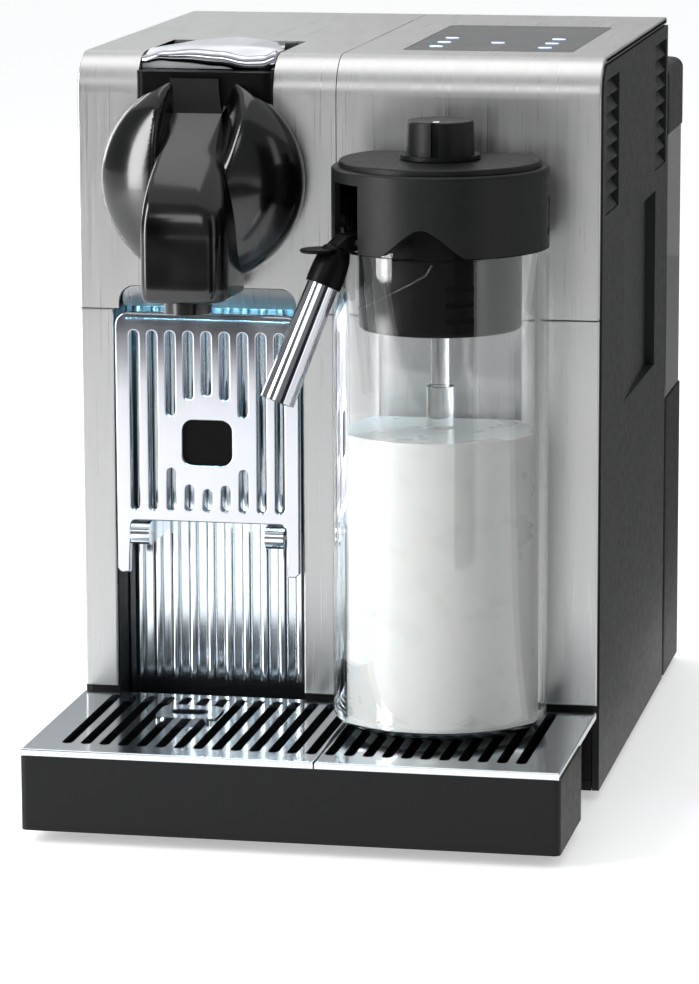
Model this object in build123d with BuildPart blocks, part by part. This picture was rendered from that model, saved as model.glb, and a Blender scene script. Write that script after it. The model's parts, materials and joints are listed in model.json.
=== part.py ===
from build123d import *
import math
import os

os.makedirs("parts", exist_ok=True)

# Pod coffee machine with a clip-on milk jug.  Millimetres, +Z up, front facing -Y.
# Origin: on the standing surface, at the centre of the whole machine's footprint.

# ---- Driving dimensions: whole machine -------------------------------------------
width = 194.0
depth = 332.0
height = 274.0
tray_reach = 92.0  # drip tray in front of the front panel
tank_reach = 56.0  # water tank behind the housing
gap = 0.3  # between neighbours that don't touch
run_gap = 0.5  # between a moving piece and what it passes
pin_gap = 0.05  # radial play of a pin in its hole

# ---- Housing ---------------------------------------------------------------------
skin = 2.5  # aluminium sheet with its rolled edge
bend_r = 14.0  # outside radius of the bend between front and top
edge_r = 0.7  # broken edge of the sheet
skin_inset = 0.5  # aluminium stands this far inside the side panels
lever_rise = 1.6  # lever stands this far above the top sheet
upper_front_h = 95.3  # from the very top down to the seam across the front
panel_bottom = 36.0
side_wall = 2.5
side_setback = 3.0  # side panels start this far behind the front sheet
wall = 2.2
floor_gap = 3.4  # housing above the standing surface
base_t = 4.0
bulkhead_t = 3.0
rear_t = 3.0
foot_r = 9.0
screw_r = 3.2
screw_head = 1.4
screw_shank_r = 1.4
screw_l = 9.0
cross_w = 0.8  # cross recess in the screw head
cross_l = 4.0
cross_deep = 0.7

# ---- Air louvres and hand grip in the side panels -------------------------------
louvre_w = 34.0
louvre_h = 49.0
louvre_margin = 10.0  # behind the front sheet
louvre_back_margin = 4.0
louvre_drop = 8.0  # below the top sheet
louvre_teeth = 8
louvre_deep = 5.0
grip_w = 89.0
grip_h = 69.0
grip_deep = 3.6
grip_start = 61.0  # behind the front sheet
grip_top_drop = 66.4

# ---- Touch panel -----------------------------------------------------------------
touch_w = 62.6
touch_l = 105.0
touch_start = 31.0  # behind the front sheet
touch_t = 2.0
touch_r = 3.0
icon_pitch_x = 20.3
icon_pitch_y = 17.2
icon_w = 5.0
icon_l = 2.6
icon_t = 0.2
icon_start = 47.0

# ---- Coffee column, header and brewing head --------------------------------------
column_w = 71.0
header_inset = 2.5  # header narrower than the column, each side
header_corner = 6.0
header_h = 8.8
header_slope = 6.0
neck_w = 50.0
neck_rise = 23.0  # bottom of the cut-out behind the disc, above the seam
neck_top_drop = 7.4
neck_cut_reach = 59.0
neck_proud = 4.0
disc_r = 37.5
disc_drop = 46.5
disc_rim = 6.0
disc_dome = 17.0
spout_w = 31.0
spout_reach = 40.0
spout_bottom_drop = 87.0
spout_corner = 8.0
nozzle_r = 8.8
nozzle_h = 4.1
nozzle_reach = 30.0
jet_r = 1.6
jet_pitch = 7.0
head_l = 40.0  # depth of the head behind the front sheet
pod_start = 4.0  # pod chamber behind the front sheet
pod_w = 38.0
pod_l = 28.0
pod_h = 48.0
piston_r = 13.0
piston_l = 22.0
cage_l = 44.0
cage_w = 44.0
cage_top_drop = 14.0
cage_below = 16.0  # below the disc's centre
piston_rise = 4.0  # above the disc's centre

# ---- Lever -----------------------------------------------------------------------
lever_back_w = 34.0
lever_straight = 14.0
lever_t = 3.2
lever_nose_back = 7.0  # nose behind the front sheet
lever_lip_t = 4.0
lever_lip_h = 3.4
lever_wave = 1.2
lever_pin_back = 52.0
lever_pin_drop = 4.2
lever_tail = 3.5
lever_pin_r = 1.6
knuckle_r = 3.6

# ---- Cup support -----------------------------------------------------------------
support_gap = 1.1  # beside the cup support
support_t = 3.6
slot_w = 4.4
slot_border = 4.88  # from the cup support's side to its first slot
support_corner = 4.0
support_top_border = 6.0
support_h = 82.6  # hinge line to top edge
crossbar_rise = 5.0
slot_rise = 8.7
leg_w = 5.0
leg_drop = 14.7
window_w = 19.7
window_h = 17.9
window_r = 4.5
boss_r = 16.0
window_rise = 33.3
lug_w = 7.0
support_pin_r = 0.9
rib_r = 2.2
rib_t = 2.0
rib_setback = 18.0

# ---- Drip tray -------------------------------------------------------------------
grid_top = 34.3
grid_t = 2.5
split_slot = 8.5  # grids part between two slots, counted from the coffee column
grid_split_gap = 0.6
grid_slot_back = 5.0
grid_slot_front = 10.5
grid_slot_w = 3.9
grid_border = 11.0  # from the grid's side to its last slot
fascia_t = 3.5
fascia_low = 4.6
fascia_return = 50.0
bin_inset = 5.5
bin_low = 5.2
finger_boss_w = 23.0
finger_boss_l = 20.0
finger_boss_h = 1.6
finger_boss_start = 24.0
finger_slot_w = 14.0
finger_slot_l = 8.0
bridge_low = 9.0
bridge_t = 4.0
pod_bin_l = 86.0
pod_bin_drop = 28.7  # below the seam

# ---- Milk jug --------------------------------------------------------------------
jug_r = 38.7
jug_axis_reach = 27.5  # jug's own axis in front of the front sheet
jug_back_gap = 3.0
jug_clear = 2.0  # under the jug, above the grid
jug_wall = 2.4
jug_floor = 3.2
jug_bottom_r = 5.0
jug_rim_drop = 65.0  # lid's lower rim below the machine's top
jug_neck_h = 12.0
lid_h = 28.5
lid_wall = 2.1
lid_deck_t = 4.0
arch_w = 28.0
arch_h = 10.0
top_plate_step = 2.7  # top plate stands this far inside the lid
top_plate_t = 2.2
knob_r = 12.2
knob_h = 12.0
knob_flange_r = 14.3
knob_flange_t = 1.5
knob_notch_w = 2.6
stem_r = 4.2  # knob's stem through the lid
froth_clear = 4.9  # between the frother and the jug's inner wall
froth_drop = 29.0  # below the lid's lower rim
vent_w = 10.0
vent_h = 2.0
vent_pitch = 5.7
pipe_r = 3.3
sleeve_r = 5.0
sleeve_drop = 50.5  # below the lid's lower rim
sleeve_l = 16.5
milk_level = 0.62  # part of the way up the jug's glass
plug_r = 4.5
plug_l = 19.0
plug_drop = 47.0
connector_r = 8.7
button_w = 9.0
button_h = 13.5
button_l = 4.7
button_back = 2.5
button_drop = 54.0

# ---- Milk spout, hinged in the lid's left recess ---------------------------------
spout_turn = 219.07  # direction from the jug's axis, degrees from +X
recess_w = 17.0
recess_deep = 7.5
recess_h = 24.0
arm_w = 9.0
arm_heel = 1.8  # corner cut off below the pivot, so that the arm clears the jug
tube_top_r = 5.6
tube_tip_r = 6.3
tube_root_reach = 7.3  # beyond the jug's wall
tube_root_drop = 9.0  # below the lid's lower rim
tube_tip_reach = 26.8
tube_tip_drop = 51.0
tube_bore_r = 1.9
pivot_deep = 3.2  # inside the jug's wall
pivot_rise = 3.5
pivot_r = 1.2
thumb_l = 15.0
thumb_w = 12.5
thumb_t = 1.6

# ---- Water tank ------------------------------------------------------------------
tank_seat = 118.0
tank_rim_drop = 49.0
tank_neck_h = 14.0
neck_swing = 1.4  # front of the neck set back, for the swing of the lid
tank_wall = 2.2
tank_corner = 7.0
tank_lid_drop = 22.0
hinge_barrel_r = 1.3
hinge_barrel_rise = 1.8  # lid's hinge line above the tank's rim
tank_lid_wall = 2.4
tank_inset = 0.5
valve_r = 7.0
valve_h = 8.0

# ---- Inner machinery -------------------------------------------------------------
boiler_w = 66.0
boiler_l = 60.0
boiler_h = 72.0
pump_r = 17.0
pump_l = 78.0
meter_r = 13.0
meter_h = 16.0
board_w = 92.0
board_h = 88.0
board_t = 1.6
hose_r = 3.0
light_l = 60.0

# ---- Places worked out from the sizes above --------------------------------------
front = -depth / 2 + tray_reach
back = depth / 2 - tank_reach
half = width / 2
skin_half = half - skin_inset
top = height - lever_rise
seam = height - upper_front_h
column_x = -width / 4
column_left = column_x - column_w / 2
column_right = column_x + column_w / 2
inner_half = half - side_wall - gap
base_top = floor_gap + base_t
neck_low = seam + neck_rise
neck_top = height - neck_top_drop
cage_top = height - cage_top_drop
lever_w = neck_w
header_w = column_w - 2 * header_inset
support_w = column_w - 2 * support_gap
disc_z = height - disc_drop
piston_z = disc_z + piston_rise
spout_low = height - spout_bottom_drop
slot_pitch = (support_w - 2 * slot_border - slot_w) / 8
support_top = seam - support_gap
hinge_z = support_top - support_h
hinge_y = front - support_t / 2 + 1.2
jug_x = width * 0.2227
jug_y = front - jug_axis_reach
jug_back = front - jug_back_gap
jug_low = grid_top + jug_clear
top_plate_r = jug_r - top_plate_step
froth_r = jug_r - lid_wall - gap - jug_wall - froth_clear
rim_z = height - jug_rim_drop
lid_top = rim_z + lid_h
plug_z = height - plug_drop
button_y = jug_y + button_back
button_z = height - button_drop
tray_front = -depth / 2
tank_rim = height - tank_rim_drop
tank_lid_top = height - tank_lid_drop
pod_bin_top = seam - pod_bin_drop
lid_hinge_y = depth / 2 - hinge_barrel_r
lid_hinge_z = tank_rim + hinge_barrel_rise

# upright plane through the jug's axis in which the milk spout swings
spout_dir = Vector(math.cos(math.radians(spout_turn)), math.sin(math.radians(spout_turn)), 0)
spout_across = Vector(spout_dir.Y, -spout_dir.X, 0)
spout_plane = Plane(origin=(jug_x, jug_y, 0), x_dir=spout_dir, z_dir=spout_across)


def slab(x, y, z, mode=Mode.ADD):
    """A box given by its low and high ends along each axis."""
    middle = ((x[0] + x[1]) / 2, (y[0] + y[1]) / 2, (z[0] + z[1]) / 2)
    with Locations(middle):
        Box(x[1] - x[0], y[1] - y[0], z[1] - z[0], mode=mode)


def rod(start, axis, radius, length, mode=Mode.ADD):
    """A cylinder that begins at start and runs along axis."""
    with Locations(Plane(origin=start, z_dir=axis)):
        Cylinder(radius, length, align=(Align.CENTER, Align.CENTER, Align.MIN), mode=mode)


def around(centre, size):
    """Low and high ends of a length laid about its centre."""
    return (centre - size / 2, centre + size / 2)


def save(part, name):
    """Label one finished piece and write it to its own file."""
    part.label = name
    export_step(part, f"parts/{name}.step")


# ==== Aluminium skin ==============================================================


def bent_sheet(x):
    """Front sheet that bends over the top edge and runs back, seen from the side."""
    with BuildSketch(Plane.YZ.offset(x[0])) as outline:
        with BuildLine():
            Line((front, seam + gap / 2), (front, top - bend_r))
            CenterArc((front + bend_r, top - bend_r), bend_r, 180, -90)
            Line((front + bend_r, top), (back, top))
            Line((back, top), (back, top - skin))
            Line((back, top - skin), (front + bend_r, top - skin))
            CenterArc((front + bend_r, top - bend_r), bend_r - skin, 90, 90)
            Line((front + skin, top - bend_r), (front + skin, seam + gap / 2))
            Line((front + skin, seam + gap / 2), (front, seam + gap / 2))
        make_face()
    extrude(outline.sketch, amount=x[1] - x[0])


with BuildPart() as top_shell_left:
    bent_sheet((-skin_half, -gap / 2))
    fillet(top_shell_left.faces().sort_by(Axis.X)[0].outer_wire().edges(), edge_r)
    neck_x = around(column_x, neck_w + 2 * gap)
    neck_y = (front - 1, front + neck_cut_reach)
    slab(neck_x, neck_y, (neck_low, top + 1), Mode.SUBTRACT)
    header_x = around(column_x, header_w + 2 * gap)
    with BuildSketch(Plane.XZ.offset(-front + 1)):
        with Locations((column_x, seam - header_h)):
            RectangleRounded(header_w + 2 * gap, 4 * header_h, header_corner)
    extrude(amount=-skin - 2, mode=Mode.SUBTRACT)
save(top_shell_left.part, "top_shell_left")

touch_x = around(width * 0.2577, touch_w)
touch_y = (front + touch_start, front + touch_start + touch_l)

with BuildPart() as top_shell_right:
    bent_sheet((gap / 2, skin_half))
    fillet(top_shell_right.faces().sort_by(Axis.X)[-1].outer_wire().edges(), edge_r)
    with BuildSketch(Plane.XY.offset(top + 1)):
        with Locations((sum(touch_x) / 2, sum(touch_y) / 2)):
            RectangleRounded(touch_w + 2 * gap, touch_l + 2 * gap, touch_r + gap)
    extrude(amount=-skin - 2, mode=Mode.SUBTRACT)
    rod((jug_x, front - 1, plug_z), (0, 1, 0), connector_r + gap, skin + 2, Mode.SUBTRACT)
save(top_shell_right.part, "top_shell_right")

for side, x_range in (
    ("left", (-skin_half, column_left)),
    ("right", (column_right, skin_half)),
):
    with BuildPart() as front_panel:
        slab(x_range, (front, front + skin), (panel_bottom, seam - gap / 2))
        fillet(front_panel.faces().sort_by(Axis.Y)[0].edges(), edge_r)
    save(front_panel.part, f"front_panel_{side}")

with BuildPart() as column_header:
    with BuildSketch(Plane.YZ.offset(column_x - header_w / 2)):
        with BuildLine():
            Polyline(
                (front + 0.4, seam + header_h - gap),
                (front + header_slope, seam + gap),
                (front + header_slope + wall, seam + gap),
                (front + header_slope + wall, seam + header_h - gap),
                (front + 0.4, seam + header_h - gap),
            )
        make_face()
    extrude(amount=header_w)
    with BuildSketch(Plane.XZ.offset(-front + 1)):
        with Locations((column_x, seam - header_h)):
            RectangleRounded(header_w, 4 * header_h - 2 * gap, header_corner)
    extrude(amount=-2 * header_slope - 2, mode=Mode.INTERSECT)
save(column_header.part, "column_header")

# ==== Touch panel with its lit symbols ============================================

with BuildPart() as touch_panel:
    with BuildSketch(Plane.XY.offset(top - touch_t)):
        with Locations((sum(touch_x) / 2, sum(touch_y) / 2)):
            RectangleRounded(touch_w, touch_l, touch_r)
    extrude(amount=touch_t)
save(touch_panel.part, "touch_panel")

icon_middle = sum(touch_x) / 2 - 1.4
icon_spots = [
    (icon_middle + column * icon_pitch_x, front + icon_start + row * icon_pitch_y)
    for column in (-1, 0, 1)
    for row in (0, 1, 2)
    if column != 0 or row == 1
]
with BuildPart() as touch_icons:
    with BuildSketch(Plane.XY.offset(top)):
        with Locations(*icon_spots):
            Ellipse(icon_w / 2, icon_l / 2)
    extrude(amount=icon_t)
save(touch_icons.part, "touch_icons")

with BuildPart() as control_board:
    board_x = around(sum(touch_x) / 2, touch_w - 4)
    board_y = around(sum(touch_y) / 2, touch_l - 6)
    slab(board_x, board_y, (top - touch_t - 6, top - touch_t - 6 + board_t))
    for x in board_x:
        for y in board_y:
            edge_x = min(max(x, board_x[0] + 4), board_x[1] - 4)
            edge_y = min(max(y, board_y[0] + 4), board_y[1] - 4)
            rod((edge_x, edge_y, top - touch_t - 6), (0, 0, 1), 2, 6)
save(control_board.part, "control_board")

# ==== Side panels, louvres and hand grips =========================================

side_y = (front + side_setback, back)
side_z = (floor_gap, top - side_setback)
louvre_z = (top - louvre_drop - louvre_h, top - louvre_drop)
front_louvre_y = (front + louvre_margin, front + louvre_margin + louvre_w)
rear_louvre_y = (back - louvre_back_margin - louvre_w, back - louvre_back_margin)
grip_z = (height - grip_top_drop - grip_h, height - grip_top_drop)
grip_y = (front + grip_start, front + grip_start + grip_w)


def mirrored(sign, low, high):
    """An X range on the right side, or its twin on the left."""
    return (low, high) if sign > 0 else (-high, -low)


for sign, side in ((1, "right"), (-1, "left")):
    with BuildPart() as side_panel:
        with BuildSketch(Plane.YZ.offset(mirrored(sign, half - side_wall, half)[0])):
            with BuildLine():
                corner_r = bend_r - side_setback
                Line((side_y[0], side_z[0]), (side_y[0], top - bend_r))
                CenterArc((front + bend_r, top - bend_r), corner_r, 180, -90)
                Line((front + bend_r, side_z[1]), (side_y[1], side_z[1]))
                Line((side_y[1], side_z[1]), (side_y[1], side_z[0]))
                Line((side_y[1], side_z[0]), (side_y[0], side_z[0]))
            make_face()
        extrude(amount=side_wall)
        well_x = mirrored(sign, half - grip_deep - wall, half - side_wall)
        slab(
            well_x,
            (grip_y[0] + 15, grip_y[1] + wall),
            (grip_z[0] - wall, grip_z[1] + wall),
        )
        with BuildSketch(Plane.XY.offset(grip_z[0])):
            with BuildLine():
                Polyline(
                    (sign * half, grip_y[0]),
                    (sign * (half - grip_deep), grip_y[1]),
                    (sign * half, grip_y[1]),
                    (sign * half, grip_y[0]),
                )
            make_face()
        extrude(amount=grip_h, mode=Mode.SUBTRACT)
        for y_range in (front_louvre_y, rear_louvre_y):
            slab(mirrored(sign, half - 8, half + 1), y_range, louvre_z, Mode.SUBTRACT)
    save(side_panel.part, f"side_panel_{side}")

for place, y_range in (("front", front_louvre_y), ("rear", rear_louvre_y)):
    tooth = (louvre_h - 2 * gap) / louvre_teeth
    outer = half - 0.4
    with BuildPart() as louvres:
        for sign in (1, -1):
            points = [(sign * (outer - louvre_deep), louvre_z[0] + gap)]
            for step in range(louvre_teeth):
                low = louvre_z[0] + gap + step * tooth
                points.append((sign * outer, low))
                points.append((sign * (outer - louvre_deep + 1.5), low + tooth))
            points.append((sign * (outer - louvre_deep), louvre_z[1] - gap))
            points.append(points[0])
            with BuildSketch(Plane.XZ.offset(-y_range[0] - gap)):
                with BuildLine():
                    Polyline(*points)
                make_face()
            extrude(amount=-(louvre_w - 2 * gap))
    save(louvres.part, f"louvres_{place}")

# ==== Base, bulkhead and rear wall ================================================

foot_x = inner_half - 14
foot_spots = [(x, y) for x in (-foot_x, foot_x) for y in (front + 18, back - 16)]
foot_spots += [(x, back + tank_reach - 16) for x in (-foot_x, foot_x)]

bulkhead_y = (front + skin + gap, front + skin + gap + bulkhead_t)

with BuildPart() as base_pan:
    slab((-inner_half, inner_half), (bulkhead_y[0], back - rear_t - gap), (floor_gap, base_top))
    rim_y = (bulkhead_y[1] + gap, back - rear_t - gap)
    for rim_x in ((-inner_half, -inner_half + wall), (inner_half - wall, inner_half)):
        slab(rim_x, rim_y, (base_top, panel_bottom - 8))
save(base_pan.part, "base_pan")

with BuildPart() as feet:
    for x, y in foot_spots:
        rod((x, y, 0), (0, 0, 1), foot_r, floor_gap)
    chamfer(feet.edges().filter_by(GeomType.CIRCLE).group_by(Axis.Z)[0], 0.8)
save(feet.part, "feet")

column_depth_y = front + rib_setback + pod_bin_l + 14

with BuildPart() as bulkhead:
    slab((-inner_half, inner_half), bulkhead_y, (base_top + gap, top - bend_r))
    open_x = (column_left, column_right)
    open_y = (bulkhead_y[0] - 1, bulkhead_y[1] + 1)
    slab(open_x, open_y, (base_top - 1, seam), Mode.SUBTRACT)
    slab(around(column_x, header_w + 2), open_y, (seam - 1, seam + header_h + 1), Mode.SUBTRACT)
    slab(around(column_x, neck_w + 1), open_y, (neck_low - 1, top), Mode.SUBTRACT)
    rod((jug_x, open_y[0], plug_z), (0, 1, 0), connector_r + gap, 6, Mode.SUBTRACT)
    for x_range in (
        (column_left - wall, column_left),
        (column_right, column_right + wall),
    ):
        slab(x_range, (bulkhead_y[0], column_depth_y), (base_top + gap, seam))
    slab(
        (column_left, column_right),
        (front + rib_setback + 6, column_depth_y),
        (seam - wall, seam),
    )
save(bulkhead.part, "bulkhead")

screw_z = side_z[1] - 10.4
screw_spots = [(x, screw_z) for x in (-inner_half + 8, -inner_half / 3, inner_half / 3, inner_half - 8)]

with BuildPart() as rear_wall:
    slab((-inner_half, inner_half), (back - rear_t, back), (floor_gap, side_z[1]))
    for x in (-inner_half * 0.6, 0, inner_half * 0.6):
        slab(around(x, 8), (back - rear_t - 4, back - rear_t), (base_top + gap, side_z[1] - 20))
    for x, z in screw_spots:
        rod((x, back - screw_head, z), (0, 1, 0), screw_r + gap, screw_head + 1, Mode.SUBTRACT)
        rod((x, back - rear_t - 1, z), (0, 1, 0), screw_shank_r, rear_t + 2, Mode.SUBTRACT)
save(rear_wall.part, "rear_wall")

with BuildPart() as housing_screws:
    for x, z in screw_spots:
        rod((x, back - screw_head, z), (0, 1, 0), screw_r, screw_head)
        rod((x, back - screw_head - screw_l, z), (0, 1, 0), screw_shank_r, screw_l)
        cross_y = (back - cross_deep, back + 1)
        slab(around(x, cross_w), cross_y, around(z, cross_l), Mode.SUBTRACT)
        slab(around(x, cross_l), cross_y, around(z, cross_w), Mode.SUBTRACT)
save(housing_screws.part, "housing_screws")

# ==== Brewing head ================================================================

with BuildPart() as head_housing:
    head_y = (front - neck_proud, front + head_l)
    slab(around(column_x, neck_w), head_y, (neck_low + gap, neck_top))
    fillet(head_housing.edges().filter_by(Axis.Z).group_by(Axis.Y)[0], 3)
    slab(
        around(column_x, pod_w),
        (front + pod_start, front + pod_start + pod_l),
        (neck_top - pod_h, height),
        Mode.SUBTRACT,
    )
    rod(
        (column_x, front + pod_start, piston_z),
        (0, 1, 0),
        piston_r + run_gap,
        60,
        Mode.SUBTRACT,
    )
save(head_housing.part, "head_housing")

piston_y = front + pod_start + pod_l + 2
cage_y = (front + head_l + 0.4, front + head_l + 0.4 + cage_l)
lever_pin_y = front + lever_pin_back
lever_pin_z = height - lever_pin_drop
ear_w = 4.5
ear_x = lever_back_w / 2 + 2

with BuildPart() as brew_cage:
    slab(around(column_x, cage_w), cage_y, (disc_z - cage_below, cage_top))
    rod((column_x, cage_y[0] - 1, piston_z), (0, 1, 0), piston_r + pin_gap, cage_l + 2, Mode.SUBTRACT)
    for sign in (-1, 1):
        ear_range = around(column_x + sign * (ear_x + ear_w / 2), ear_w)
        slab(ear_range, around(lever_pin_y, 8), (cage_top - 0.5, lever_pin_z))
        rod((ear_range[0], lever_pin_y, lever_pin_z), (1, 0, 0), 2.6, ear_w)
        rod((ear_range[0] - 1, lever_pin_y, lever_pin_z), (1, 0, 0), lever_pin_r, ear_w + 2, Mode.SUBTRACT)
save(brew_cage.part, "brew_cage")

with BuildPart() as brew_piston:
    rod((column_x, piston_y, piston_z), (0, 1, 0), piston_r, piston_l)
    rod((column_x, piston_y - 1, piston_z), (0, 1, 0), 4, 4, Mode.SUBTRACT)
save(brew_piston.part, "brew_piston")

with BuildPart() as brew_disc:
    with BuildSketch(Plane.XY.offset(disc_z)):
        with BuildLine():
            rim_y = front - gap - disc_rim
            Line((column_x, front - gap), (column_x + disc_r, front - gap))
            Line((column_x + disc_r, front - gap), (column_x + disc_r, rim_y))
            ThreePointArc(
                (column_x + disc_r, rim_y),
                (column_x + disc_r * 0.72, rim_y - disc_dome * 0.66),
                (column_x, rim_y - disc_dome),
            )
            Line((column_x, rim_y - disc_dome), (column_x, front - gap))
        make_face()
    revolve(axis=Axis((column_x, 0, disc_z), (0, 1, 0)))
    channel_x = around(column_x, spout_w + 2 * gap)
    slab(channel_x, (front - 60, front - disc_rim), (disc_z - 60, disc_z + 60), Mode.SUBTRACT)
    neck_x = around(column_x, neck_w + 2 * gap)
    slab(neck_x, (front - neck_proud - gap, front), (disc_z - 36, disc_z + 60), Mode.SUBTRACT)
save(brew_disc.part, "brew_disc")

with BuildPart() as coffee_spout:
    with BuildSketch(Plane.YZ.offset(column_x - spout_w / 2)):
        with BuildLine():
            foot = (front - spout_reach, spout_low)
            brow = (front - 14, disc_z + 27)
            Line((front - disc_rim - gap, spout_low), foot)
            Line(foot, (front - spout_reach, spout_low + 24))
            ThreePointArc(
                (front - spout_reach, spout_low + 24),
                (front - spout_reach + 6, disc_z + 8),
                brow,
            )
            Line(brow, (front - disc_rim - gap, disc_z + 29))
            Line((front - disc_rim - gap, disc_z + 29), (front - disc_rim - gap, spout_low))
        make_face()
    extrude(amount=spout_w)
    front_edges = coffee_spout.edges().filter_by(Axis.Z).group_by(Axis.Y)[0]
    fillet(front_edges, spout_corner)
save(coffee_spout.part, "coffee_spout")

with BuildPart() as coffee_nozzle:
    nozzle_at = (column_x, front - nozzle_reach, spout_low - nozzle_h)
    rod(nozzle_at, (0, 0, 1), nozzle_r, nozzle_h)
    for side in (-1, 1):
        jet_at = (column_x + side * jet_pitch / 2, front - nozzle_reach, spout_low - nozzle_h - 1)
        rod(jet_at, (0, 0, 1), jet_r, nozzle_h + 0.5, Mode.SUBTRACT)
save(coffee_nozzle.part, "coffee_nozzle")

with BuildPart() as column_light:
    light_y = (front + header_slope + wall + gap, front + header_slope + wall + 4)
    slab(around(column_x, light_l), light_y, (seam + 2, seam + header_h - 1))
save(column_light.part, "column_light")

# ==== Lever =======================================================================

lever_z = (height - lever_t, height)
with BuildPart() as lever_plate:
    with BuildSketch(Plane.XY.offset(lever_z[0])):
        with BuildLine():
            nose_y = front + lever_nose_back
            tail_y = lever_pin_y + lever_tail
            left_nose = (column_x - lever_w / 2, nose_y)
            right_nose = (column_x + lever_w / 2, nose_y)
            left_tail = (column_x - lever_back_w / 2, tail_y - 8)
            right_tail = (column_x + lever_back_w / 2, tail_y - 8)
            Line(left_nose, right_nose)
            Line(right_nose, (right_nose[0], nose_y + lever_straight))
            Line((right_nose[0], nose_y + lever_straight), right_tail)
            ThreePointArc(right_tail, (column_x, tail_y), left_tail)
            Line(left_tail, (left_nose[0], nose_y + lever_straight))
            Line((left_nose[0], nose_y + lever_straight), left_nose)
        make_face()
    extrude(amount=lever_t)
    knuckle_x = around(column_x, lever_back_w - 8)
    rod((knuckle_x[0], lever_pin_y, lever_pin_z), (1, 0, 0), knuckle_r, knuckle_x[1] - knuckle_x[0])
    rod((column_x - 40, lever_pin_y, lever_pin_z), (1, 0, 0), lever_pin_r + pin_gap, 80, Mode.SUBTRACT)
save(lever_plate.part, "lever_plate")

with BuildPart() as lever_lip:
    lip_low = lever_z[0] - lever_lip_h
    with BuildSketch(Plane.XZ.offset(-(front + lever_nose_back))):
        with BuildLine():
            lip_x = around(column_x, lever_w)
            Line((lip_x[0], lever_z[0]), (lip_x[1], lever_z[0]))
            Line((lip_x[1], lever_z[0]), (lip_x[1], lip_low))
            Spline(
                (lip_x[1], lip_low),
                (column_x + lever_w / 5, lip_low + 0.2),
                (column_x - lever_w / 5, lip_low + lever_wave),
                (lip_x[0], lip_low + 1),
            )
            Line((lip_x[0], lip_low + 1), (lip_x[0], lever_z[0]))
        make_face()
    extrude(amount=-lever_lip_t)
save(lever_lip.part, "lever_lip")

with BuildPart() as lever_pin:
    pin_x = around(column_x, 2 * (ear_x + ear_w))
    rod((pin_x[0], lever_pin_y, lever_pin_z), (1, 0, 0), lever_pin_r, pin_x[1] - pin_x[0])
save(lever_pin.part, "lever_pin")

# ==== Cup support that folds down over the drip grid ==============================

support_x = around(column_x, support_w)
support_y = (hinge_y - support_t / 2, hinge_y + support_t / 2)
window_z = hinge_z + window_rise
leg_xs = ((support_x[0], support_x[0] + leg_w), (support_x[1] - leg_w, support_x[1]))

with BuildPart() as cup_support:
    with BuildSketch(Plane.XZ.offset(-support_y[0])):
        with BuildLine():
            low = hinge_z + crossbar_rise
            Line((support_x[0], low), (support_x[0], support_top - support_corner))
            CenterArc(
                (support_x[0] + support_corner, support_top - support_corner),
                support_corner,
                180,
                -90,
            )
            Line(
                (support_x[0] + support_corner, support_top),
                (support_x[1] - support_corner, support_top),
            )
            CenterArc(
                (support_x[1] - support_corner, support_top - support_corner),
                support_corner,
                90,
                -90,
            )
            Line((support_x[1], support_top - support_corner), (support_x[1], low))
            Line((support_x[1], low), (support_x[0], low))
        make_face()
    extrude(amount=-support_t)
    chamfer(cup_support.faces().sort_by(Axis.Y)[0].edges(), 0.6)
    slot_low = hinge_z + slot_rise
    slot_high = support_top - support_top_border
    with BuildSketch(Plane.XZ.offset(-support_y[0] + 1)):
        for k in range(-4, 5):
            with Locations((column_x + k * slot_pitch, (slot_low + slot_high) / 2)):
                SlotOverall(slot_high - slot_low, slot_w, rotation=90)
        with Locations((column_x, window_z)):
            Circle(boss_r, mode=Mode.SUBTRACT)
            RectangleRounded(window_w, window_h, window_r)
    extrude(amount=-(support_t + 2), mode=Mode.SUBTRACT)
    for x_range in leg_xs:
        slab(x_range, support_y, (hinge_z - leg_drop, low + 1))
        rod(
            (x_range[0] - 1, hinge_y, hinge_z),
            (1, 0, 0),
            support_pin_r + pin_gap,
            leg_w + 2,
            Mode.SUBTRACT,
        )
save(cup_support.part, "cup_support")

lug_xs = (
    (leg_xs[0][1] + run_gap, leg_xs[0][1] + run_gap + lug_w),
    (leg_xs[1][0] - run_gap - lug_w, leg_xs[1][0] - run_gap),
)
lug_r = crossbar_rise - 0.7

with BuildPart() as backsplash:
    splash_x = around(column_x, column_w - 4 * gap)
    splash_y = (front + rib_setback, front + rib_setback + rib_t)
    splash_low = bridge_low + bridge_t
    slab(splash_x, splash_y, (splash_low, support_top))
    for k in range(10):
        rod(
            (column_x + (k - 4.5) * slot_pitch, splash_y[0], grid_top + 2),
            (0, 0, 1),
            rib_r,
            support_top - grid_top - 2,
        )
    for x_range in lug_xs:
        slab(x_range, (hinge_y, splash_y[0]), around(hinge_z, 2 * lug_r))
        rod((x_range[0], hinge_y, hinge_z), (1, 0, 0), lug_r, lug_w)
        rod(
            (x_range[0] - 1, hinge_y, hinge_z),
            (1, 0, 0),
            support_pin_r,
            lug_w + 2,
            Mode.SUBTRACT,
        )
save(backsplash.part, "backsplash")

with BuildPart() as cup_support_pins:
    for leg, lug in zip(leg_xs, lug_xs):
        low_x = min(leg[0] + 0.6, lug[0])
        high_x = max(leg[1] - 0.6, lug[1])
        rod((low_x, hinge_y, hinge_z), (1, 0, 0), support_pin_r, high_x - low_x)
save(cup_support_pins.part, "cup_support_pins")

# ==== Drip tray, its grids and the used-pod bin ===================================

tray_back = front - 2.4
grid_z = (grid_top - grid_t, grid_top)
bin_half = half - bin_inset
bridge_x = around(column_x, column_w - 3)

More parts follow.
